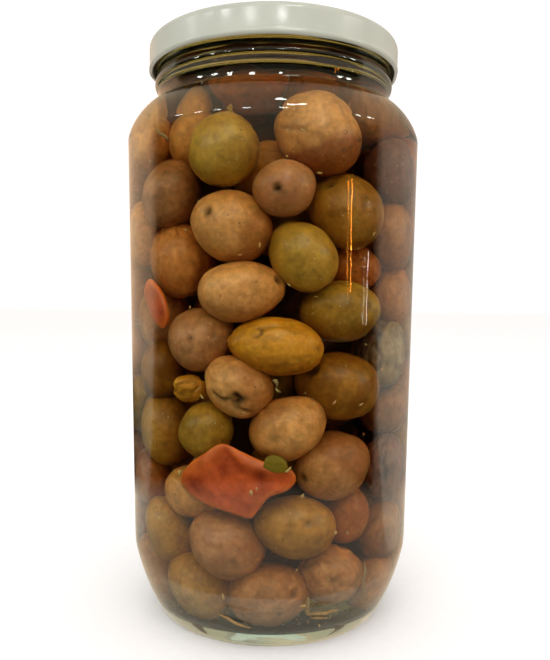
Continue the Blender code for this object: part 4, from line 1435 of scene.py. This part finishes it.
def stem(name, path, radii):
    """A thin stem: a ring of edges extruded along a path and drawn in at both ends."""
    deselect()
    way = (path[1] - path[0]).normalized()
    turn = Vector((0, 0, 1)).rotation_difference(way)
    bpy.ops.mesh.primitive_circle_add(
        vertices=STEM_SIDES, radius=radii[0], fill_type="NGON", location=path[0],
        rotation=turn.to_euler(),
    )
    piece = bpy.context.object
    piece.name = name
    bpy.ops.object.transform_apply(location=True, rotation=True, scale=True)
    select_whole()
    for k in range(1, len(path)):
        step = path[k] - path[k - 1]
        bpy.ops.mesh.extrude_region_move(TRANSFORM_OT_translate={"value": step})
        share = radii[k] / radii[k - 1]
        bpy.ops.transform.resize(value=(share, share, share), center_override=path[k])
    faced_out(piece)
    return piece


STEM_SIDES = 8
STEM_END = 0.35  # how thin a stem is at its ends, and how much thinner from bend to bend
STEM_TAPER = 0.08
LEAF_PLACE = (2.1, 58.4 * MM)  # round the jar, and its height
LEAF_SHAPE = 0.38  # half its height, against its length
LEAF_PINCH = 0.45
LEAF_BLUNTNESS = 2.2
LEAF_TAPER = 0.12  # how much shorter its upper edge is than its middle
LEAF_GAP = 0.35 * MM  # from the glass
LEAF_WAVES = 3
VEIN_WIDTH = 0.12
LEAF_SKEW = 0.5 * MM
LEAF_CUP = 0.5 * MM
LEAF_VEIN = 0.2 * MM
LEAF_THICKNESS = 0.3 * MM
CRUMB_DEPTH = 0.4  # the placed crumbs' distance from the glass, in millimetres
CRUMB_TRIES = 20000
CRUMBS_ON_FLOOR = 0.6  # the share of the scattered ones that lies on the floor
FLOOR_HEIGHTS = (6.6, 9.5)
FLOOR_RADIUS = 36 * MM
CRUMB_HEIGHTS = (8, 165)
CRUMB_SIZES = (0.25, 0.7)
HEEL_CLEAR = (3 * MM, 26 * MM)  # no crumb lies this close to the wall below this height
SHOULDER_CLEAR = 152 * MM
BUBBLE_TRIES = 5000
BUBBLE_CLEAR = 0.3 * MM  # from the olives
BUBBLE_SIZES = (0.12, 0.3)
BUBBLE_GAP = 0.15  # from the glass, in millimetres
HEEL_SLOPE = 0.33  # how far in the heel comes for each millimetre that it goes down


class OLIVE_JAR_OT_bits(bpy.types.Operator):
    """Makes the green leaf, the twigs and the crumbs that lie between the olives"""

    bl_idname = "olive_jar.bits"
    bl_label = "Leaf, twigs and crumbs"

    def execute(self, context):
        glass, bits = context.scene.jar_glass, context.scene.jar_bits
        self.wall = glass.body_radius - glass.wall
        olives = packed_olives(glass)
        hand_over(self.leaf(bits), soaked_plant("soaked_leaf", bits.leaf, "#6A560E"))
        hand_over(self.twigs(bits), soaked_plant("soaked_twig", bits.twig, "#64492B"))
        hand_over(self.flecks(bits, olives), soaked_plant("pale_crumbs", bits.fleck, "#A8844C"))
        return {"FINISHED"}

    def leaf(self, bits):
        """A torn bit of leaf, pinched at both ends, cupped and pressed to the glass."""
        deselect()
        bpy.ops.mesh.primitive_grid_add(x_subdivisions=16, y_subdivisions=12, size=1.0)
        leaf = bpy.context.object
        leaf.name = "leaf_bit"
        points = read_points(leaf.data)
        u, v = points[:, 0] * 2, points[:, 1] * 2
        pinch = 1 - LEAF_PINCH * np.abs(u) ** LEAF_BLUNTNESS
        across = u * bits.leaf_length / 2 * (1 - LEAF_TAPER * v)
        up = v * bits.leaf_length * LEAF_SHAPE * pinch - LEAF_SKEW * u
        radius = self.wall - LEAF_GAP - LEAF_CUP * (u**2) + LEAF_VEIN * np.cos(v * LEAF_WAVES)
        radius -= LEAF_VEIN * np.exp(-((v / VEIN_WIDTH) ** 2))
        angle = math.radians(LEAF_PLACE[0]) + across / self.wall
        height = LEAF_PLACE[1] + up
        write_points(leaf.data, wrapped(angle, radius, height))
        solid = leaf.modifiers.new("Thickness", "SOLIDIFY")
        solid.thickness = LEAF_THICKNESS
        solid.offset = 0.0
        soft = leaf.modifiers.new("Softness", "SUBSURF")
        soft.levels = soft.render_levels = 1
        select_only(leaf)
        for step in ("Thickness", "Softness"):
            bpy.ops.object.modifier_apply(modifier=step)
        leaf.data.shade_smooth()
        return leaf

    def at(self, degrees, height, inward=0.7):
        return Vector(on_wall(degrees, height * MM, self.wall - inward * MM))

    def twigs(self, bits):
        thick = bits.twig_radius
        lines = (
            (1.0, ((15.0, 18.4), (15.3, 16.6), (14.8, 14.6), (15.3, 12.6), (16.2, 12.0))),
            (0.8, ((15.2, 12.6), (19.0, 12.5), (23.0, 12.0), (26.5, 12.4), (29.0, 12.0))),
            (0.9, ((40.2, 25.6), (41.0, 23.0), (40.4, 20.3), (41.0, 17.6), (41.1, 15.0))),
            (0.6, ((-21.1, 11.9), (-17.0, 11.0), (-12.5, 9.4), (-7.1, 8.6))),
            (0.5, ((16.5, 11.4), (20.0, 10.8), (24.3, 10.3))),
            (0.6, ((-48.5, 153.0), (-46.0, 151.0), (-43.5, 150.2), (-41.0, 148.6))),
            (0.8, ((0.6, 82.3), (1.8, 82.0), (2.5, 81.0), (1.6, 80.2), (2.4, 79.2), (3.6, 79.0))),
        )
        made = []
        for k, (share, line) in enumerate(lines):
            path = [self.at(degrees, height) for degrees, height in line]
            count = len(path)
            radii = [thick * share * (STEM_END if j in (0, count - 1) else 1 - STEM_TAPER * j)
                     for j in range(count)]
            made.append(stem(f"twig_{k}", path, radii))
        return joined("twigs", made)

    def flecks(self, bits, olives):
        """Crumbs at the wall in the places that show them, and scattered on the floor."""
        blank = small_ball(1)
        bpy.ops.transform.resize(value=(1.0, 0.35, 0.55))
        pick(blank, lambda place: place.x > 0.5)
        bpy.ops.transform.translate(value=(0.3, 0.0, 0.25))
        bpy.ops.object.mode_set(mode="OBJECT")
        blank.data.shade_smooth()
        draw = random.Random(CRUMB_SEED)
        spots = [
            (12.0, 48.9, 0.9), (25.7, 37.0, 0.8), (31.1, 36.4, 0.7), (-17.8, 17.9, 0.8),
            (-7.1, 50.1, 0.9), (-37.0, 53.8, 0.9), (-5.0, 51.2, 0.5), (6.5, 56.6, 0.9),
            (36.0, 74.5, 0.6), (-26.5, 77.0, 0.6), (-10.0, 73.0, 0.5), (13.5, 15.6, 1.1),
        ]
        places = [(self.at(a, h, CRUMB_DEPTH), size) for a, h, size in spots]
        tries = 0
        while len(places) < bits.fleck_count and tries < CRUMB_TRIES:
            tries += 1
            if draw.random() < CRUMBS_ON_FLOOR:
                radius = math.sqrt(draw.uniform(0.15, 1.0)) * FLOOR_RADIUS
                spot = on_wall(draw.uniform(-90, 90), draw.uniform(*FLOOR_HEIGHTS) * MM, radius)
            else:
                spot = on_wall(draw.uniform(-75, 75), draw.uniform(*CRUMB_HEIGHTS) * MM,
                               self.wall - draw.uniform(0.5, 6) * MM)
                outside = math.hypot(spot[0], spot[1]) > self.wall - HEEL_CLEAR[0]
                if outside and spot[2] < HEEL_CLEAR[1] or spot[2] > SHOULDER_CLEAR:
                    continue
            if not inside_olive(spot, olives, -0.2 * MM):
                places.append((Vector(spot), draw.uniform(*CRUMB_SIZES)))
        made = []
        for k, (spot, size) in enumerate(places):
            fleck = copy_of(blank, f"fleck_{k}")
            turn = math.atan2(spot.x, -spot.y)
            spin = Matrix.Rotation(turn, 4, "Z") @ Matrix.Rotation(draw.uniform(0, 6.28), 4, "Y")
            scale = Matrix.Diagonal((size * MM * draw.uniform(0.8, 1.5), size * MM * 0.7,
                                     size * MM, 1.0))
            fleck.data.transform(Matrix.Translation(spot) @ spin @ scale)
            made.append(fleck)
        bpy.data.objects.remove(blank)
        return joined("crumbs", made)


class OLIVE_JAR_OT_bubbles(bpy.types.Operator):
    """Sets small air bubbles on the inside of the glass"""

    bl_idname = "olive_jar.bubbles"
    bl_label = "Bubbles"

    def execute(self, context):
        glass, bits = context.scene.jar_glass, context.scene.jar_bits
        wall = glass.body_radius - glass.wall
        olives = packed_olives(glass)
        draw = random.Random(BUBBLE_SEED)
        blank = small_ball(3)
        pick(blank, lambda place: place.y < -0.6)
        bpy.ops.transform.resize(value=(1.0, 0.8, 1.0), center_override=(0, 0, 0))
        bpy.ops.object.mode_set(mode="OBJECT")
        blank.data.shade_smooth()
        spots = [
            (6.2, 9.3, 0.55), (13.2, 9.0, 0.5), (38.3, 65.7, 0.5), (26.4, 149.9, 0.6),
            (32.1, 148.3, 0.5), (25.8, 145.2, 0.5), (25.9, 142.3, 0.45), (28.7, 146.2, 0.4),
        ]
        tries = 0
        while len(spots) < bits.bubble_count and tries < BUBBLE_TRIES:
            tries += 1
            spot = (draw.uniform(-70, 70), draw.uniform(28, 150), draw.uniform(*BUBBLE_SIZES))
            place = on_wall(spot[0], spot[1] * MM, wall - spot[2] * MM)
            if not inside_olive(place, olives, BUBBLE_CLEAR):
                spots.append(spot)
        made = []
        for k, (degrees, height, size) in enumerate(spots):
            bubble = copy_of(blank, f"bubble_{k}")
            below = max(glass.heel_height / MM - height, 0)
            reach = wall - (size + BUBBLE_GAP) * MM - below * HEEL_SLOPE * MM
            spin = Matrix.Rotation(math.radians(degrees), 4, "Z")
            place = Matrix.Translation(Vector(on_wall(degrees, height * MM, reach)))
            bubble.data.transform(place @ spin @ Matrix.Scale(size * MM, 4))
            made.append(bubble)
        bpy.data.objects.remove(blank)
        hand_over(joined("air_bubbles", made), air_in_brine())
        return {"FINISHED"}


def hide(piece, *rays):
    """Hides a stage piece or a lamp from these kinds of ray."""
    for kind in rays:
        setattr(piece, "visible_" + kind, False)


def add_lamp(name, width, height, watts, colour, degrees, rise, distance, roll=0):
    """A soft box that faces the jar from this way round and this far up."""
    turn, up = math.radians(degrees), math.radians(rise)
    way = Vector((math.sin(turn) * math.cos(up), -math.cos(turn) * math.cos(up), math.sin(up)))
    deselect()
    aim = Vector((0, 0, LAMPS_AIM))
    bpy.ops.object.light_add(type="AREA", location=aim + way * distance)
    lamp = bpy.context.object
    lamp.name = name
    aim_at = way.to_track_quat("Z", "Y").to_matrix() @ Matrix.Rotation(math.radians(roll), 3, "Z")
    lamp.rotation_euler = aim_at.to_euler()
    lamp.data.shape = "RECTANGLE"
    lamp.data.size = width
    lamp.data.size_y = height
    lamp.data.energy = watts
    lamp.data.color = linear(colour)[:3]
    return lamp


# Soft lamps over the jar: name, width and height in metres, watts, colour, degrees round and up,
# and how far away each is
BOXES = (
    ("ceiling_box", 0.9, 0.9, 6.0, "#FFF9F2", -12, 50, 1.5),
    ("fill_box", 0.7, 0.7, 2.0, "#FFF6EC", 35, 36, 1.5),
)
# A warm strip low on the right draws the gold streak down the glass, and a narrow white one
# beside it a thin bright line. The last number leans it to the side.
STRIPS = (
    ("gold_strip", 0.007, 0.205, 0.35, "#FF8A2A", 61, 10.6, 1.0, 2),
    ("pale_strip", 0.006, 0.13, 0.07, "#FFF4E8", 77, 4.6, 1.0, 0),
)
# Small bare lamps in the ceiling make the sparks on the shoulder, the neck and the lid. They are
# all alike, and each has its own way round and up.
SPARK = (0.12, 0.11, 0.8, "#FFFFFF")
SPARK_DISTANCE = 1.2
SPARKS = (
    (-76, 26), (-59, 28), (-43, 31), (-21, 35), (7, 36), (15, 48), (25, 50), (67, 27), (78, 26),
    (8, 62),
)
LAMPS_AIM = 0.09  # the height on the jar's axis that every lamp faces, in metres
DAYLIGHT_SPREAD = 100  # degrees, so that its shadows are soft
FLOOR_SIZE = 30.0
FLAG_RADII = (0.05, 0.3, 14.0)
FLAG_HEIGHT = 0.001
FLAG_ARC = (math.radians(5), math.radians(205))  # where it starts and how far round it goes
SHADE_RADIUS = 0.034
SHADE_HEIGHT = 0.0001
STAGE_SIDES = 48

# The mirrored room. Each part sets in between two values of one axis of the ray's direction.
SEEN_SKY = 1.1  # how bright the background is for the camera
LEFT_WALL_BEHIND = (0.20, 0.32)
LEFT_WALL_OVER = (-0.12, -0.04)
RIGHT_WALL_BEHIND = (-0.02, 0.04)
RIGHT_HALF = (-0.05, 0.05)
TABLE_UNDER = (-0.235, -0.265)
CEILING_OVER = (0.27, 0.42)
FRONT = (0.1, -0.1)


class OLIVE_JAR_OT_stage(bpy.types.Operator):
    """Sets up the paper floor, the soft light and the camera"""

    bl_idname = "olive_jar.stage"
    bl_label = "Stage"

    def execute(self, context):
        stage = context.scene.jar_stage
        self.floor(stage)
        self.flag()
        self.sky(context, stage)
        self.camera(context, stage)
        self.daylight(stage)
        for box in BOXES:
            hide(add_lamp(*box), "glossy", "transmission", "camera")
        for k, way in enumerate(SPARKS):
            spark = add_lamp(f"spark_{k}", *SPARK, *way, SPARK_DISTANCE)
            spark.data.shape = "ELLIPSE"
            hide(spark, "diffuse", "transmission")
        for strip in STRIPS:
            add_lamp(*strip)
        return {"FINISHED"}

    def daylight(self, stage):
        """Even light from above, which whitens the floor and shades the olives downwards."""
        deselect()
        bpy.ops.object.light_add(type="SUN", location=(0, 0, 1))
        sun = bpy.context.object
        sun.name = "soft_daylight"
        sun.data.energy = stage.daylight
        sun.data.angle = math.radians(DAYLIGHT_SPREAD)
        sun.data.color = linear("#FFFCF8")[:3]
        hide(sun, "glossy", "transmission")

    def floor(self, stage):
        deselect()
        bpy.ops.mesh.primitive_plane_add(size=FLOOR_SIZE, location=(0, 0, 0))
        floor = bpy.context.object
        floor.name = "paper_floor"
        bpy.ops.object.mode_set(mode="EDIT")
        bpy.ops.mesh.subdivide(number_cuts=3)
        bpy.ops.object.mode_set(mode="OBJECT")
        floor.data.materials.append(matt_paper("matt_paper", stage.floor))
        hide(floor, "glossy")

    def flag(self):
        """Black cloth before the jar, seen only in what the inside of the glass sends back."""
        profile = [(radius, FLAG_HEIGHT) for radius in FLAG_RADII]
        flag = turned("black_flag", profile, STAGE_SIDES, *FLAG_ARC)
        flag.data.materials.append(black_cloth())
        hide(flag, "camera", "diffuse", "glossy", "shadow")
        # A dark disc of paper under the jar is a painted shadow where the jar stands on it.
        profile = [(radius, SHADE_HEIGHT) for radius in (0.0, SHADE_RADIUS)]
        shade = turned("painted_shadow_paper", profile, STAGE_SIDES)
        shade.data.materials.append(matt_paper("painted_shadow_paper", linear("#4E463A")))

    def sky(self, context, stage):
        world = bpy.data.worlds.new("even_light")
        world.use_nodes = True
        tree = world.node_tree
        tree.nodes.clear()
        ray = node(tree, "LightPath")
        lit = node(tree, "MapRange", (ray.outputs["Is Camera Ray"], 0.0, 1.0, stage.sky, SEEN_SKY))
        even = node(tree, "Background", {"Color": linear("#FCFBFA"), "Strength": lit})
        # What the glass mirrors: a warm wall behind on the left down to the height of the jar,
        # a paler one on the right, a table below, a dim ceiling and dark in front.
        way = node(tree, "TexCoord").outputs["Generated"]
        across, behind, up = node(tree, "SeparateXYZ", (way,)).outputs
        black = linear("#060403")
        left = node(tree, "MapRange", (behind, *LEFT_WALL_BEHIND))
        level = node(tree, "MapRange", (up, *LEFT_WALL_OVER))
        left_wall = node(tree, "Math", (left, level), operation="MULTIPLY")
        right_wall = node(tree, "MapRange", (behind, *RIGHT_WALL_BEHIND))
        side = node(tree, "MapRange", (across, *RIGHT_HALF))
        low = node(tree, "MapRange", (up, *TABLE_UNDER))
        overhead = node(tree, "MapRange", (up, *CEILING_OVER))
        left_half = node(tree, "Mix", {0: left_wall, 6: black, 7: stage.wall_left},
                         data_type="RGBA")
        right_half = node(tree, "Mix", {0: right_wall, 6: black, 7: stage.wall_right},
                          data_type="RGBA")
        walls = node(tree, "Mix", {0: side, 6: left_half, 7: right_half}, data_type="RGBA")
        room = node(tree, "Mix", {0: low, 6: walls, 7: stage.table}, data_type="RGBA")
        roofed = node(tree, "Mix", {0: overhead, 6: room, 7: stage.ceiling}, data_type="RGBA")
        mirrored = node(tree, "Background", {"Color": roofed, "Strength": stage.sky_mirrored})
        # Light that the inside of the glass sends back leaves as if it had come through, so
        # the front is dark for that too. The light that reaches the olives stays even.
        ahead = node(tree, "MapRange", (behind, *FRONT))
        ghost = node(tree, "Math", (ahead, ray.outputs["Is Transmission Ray"]),
                     operation="MULTIPLY")
        either = node(tree, "Math", (ghost, ray.outputs["Is Glossy Ray"]), operation="MAXIMUM")
        unscattered = node(tree, "Math", (ray.outputs["Diffuse Depth"], 0.5),
                           operation="LESS_THAN")
        seen = node(tree, "Math", (either, unscattered), operation="MULTIPLY")
        light = node(tree, "MixShader", (seen, even, mirrored))
        node(tree, "OutputWorld", {"Surface": light})
        context.scene.world = world
        context.scene.view_settings.view_transform = "Standard"

    def camera(self, context, stage):
        deselect()
        bpy.ops.object.camera_add(
            location=(0.0, -stage.camera_distance, stage.camera_height))
        camera = bpy.context.object
        camera.name = "jar_camera"
        aim = (
            Matrix.Rotation(-stage.camera_yaw, 4, "Z")
            @ Matrix.Rotation(math.pi / 2 - stage.camera_pitch, 4, "X")
            @ Matrix.Rotation(stage.camera_roll, 4, "Z")
        )
        camera.rotation_euler = aim.to_euler()
        camera.data.lens = stage.lens
        camera.data.sensor_width = 36.0
        camera.data.shift_y = stage.rise
        camera.data.clip_start = 0.01
        context.scene.camera = camera


OPERATORS = (
    OLIVE_JAR_OT_stage,
    OLIVE_JAR_OT_glass,
    OLIVE_JAR_OT_brine,
    OLIVE_JAR_OT_lid,
    OLIVE_JAR_OT_olives,
    OLIVE_JAR_OT_pepper,
    OLIVE_JAR_OT_bits,
    OLIVE_JAR_OT_bubbles,
)


class OLIVE_JAR_PT_panel(bpy.types.Panel):
    bl_label = "Jar of olives"
    bl_idname = "OLIVE_JAR_PT_panel"
    bl_space_type = "VIEW_3D"
    bl_region_type = "UI"
    bl_category = "Olives"

    def draw(self, context):
        for operator in OPERATORS:
            self.layout.operator(operator.bl_idname)
        for name, group in SETTINGS.items():
            box = self.layout.box()
            box.label(text=name.replace("jar_", "").capitalize())
            for prop in group.__annotations__:
                box.prop(getattr(context.scene, name), prop)


def register():
    for group in SETTINGS.values():
        bpy.utils.register_class(group)
    for operator in OPERATORS:
        bpy.utils.register_class(operator)
    bpy.utils.register_class(OLIVE_JAR_PT_panel)
    for name, group in SETTINGS.items():
        setattr(bpy.types.Scene, name, bpy.props.PointerProperty(type=group))


def unregister():
    for name in SETTINGS:
        delattr(bpy.types.Scene, name)
    bpy.utils.unregister_class(OLIVE_JAR_PT_panel)
    for operator in reversed(OPERATORS):
        bpy.utils.unregister_class(operator)
    for group in reversed(SETTINGS.values()):
        bpy.utils.unregister_class(group)


def main():
    register()
    for operator in OPERATORS:
        category, name = operator.bl_idname.split(".")
        getattr(getattr(bpy.ops, category), name)()


if __name__ == "__main__":
    main()
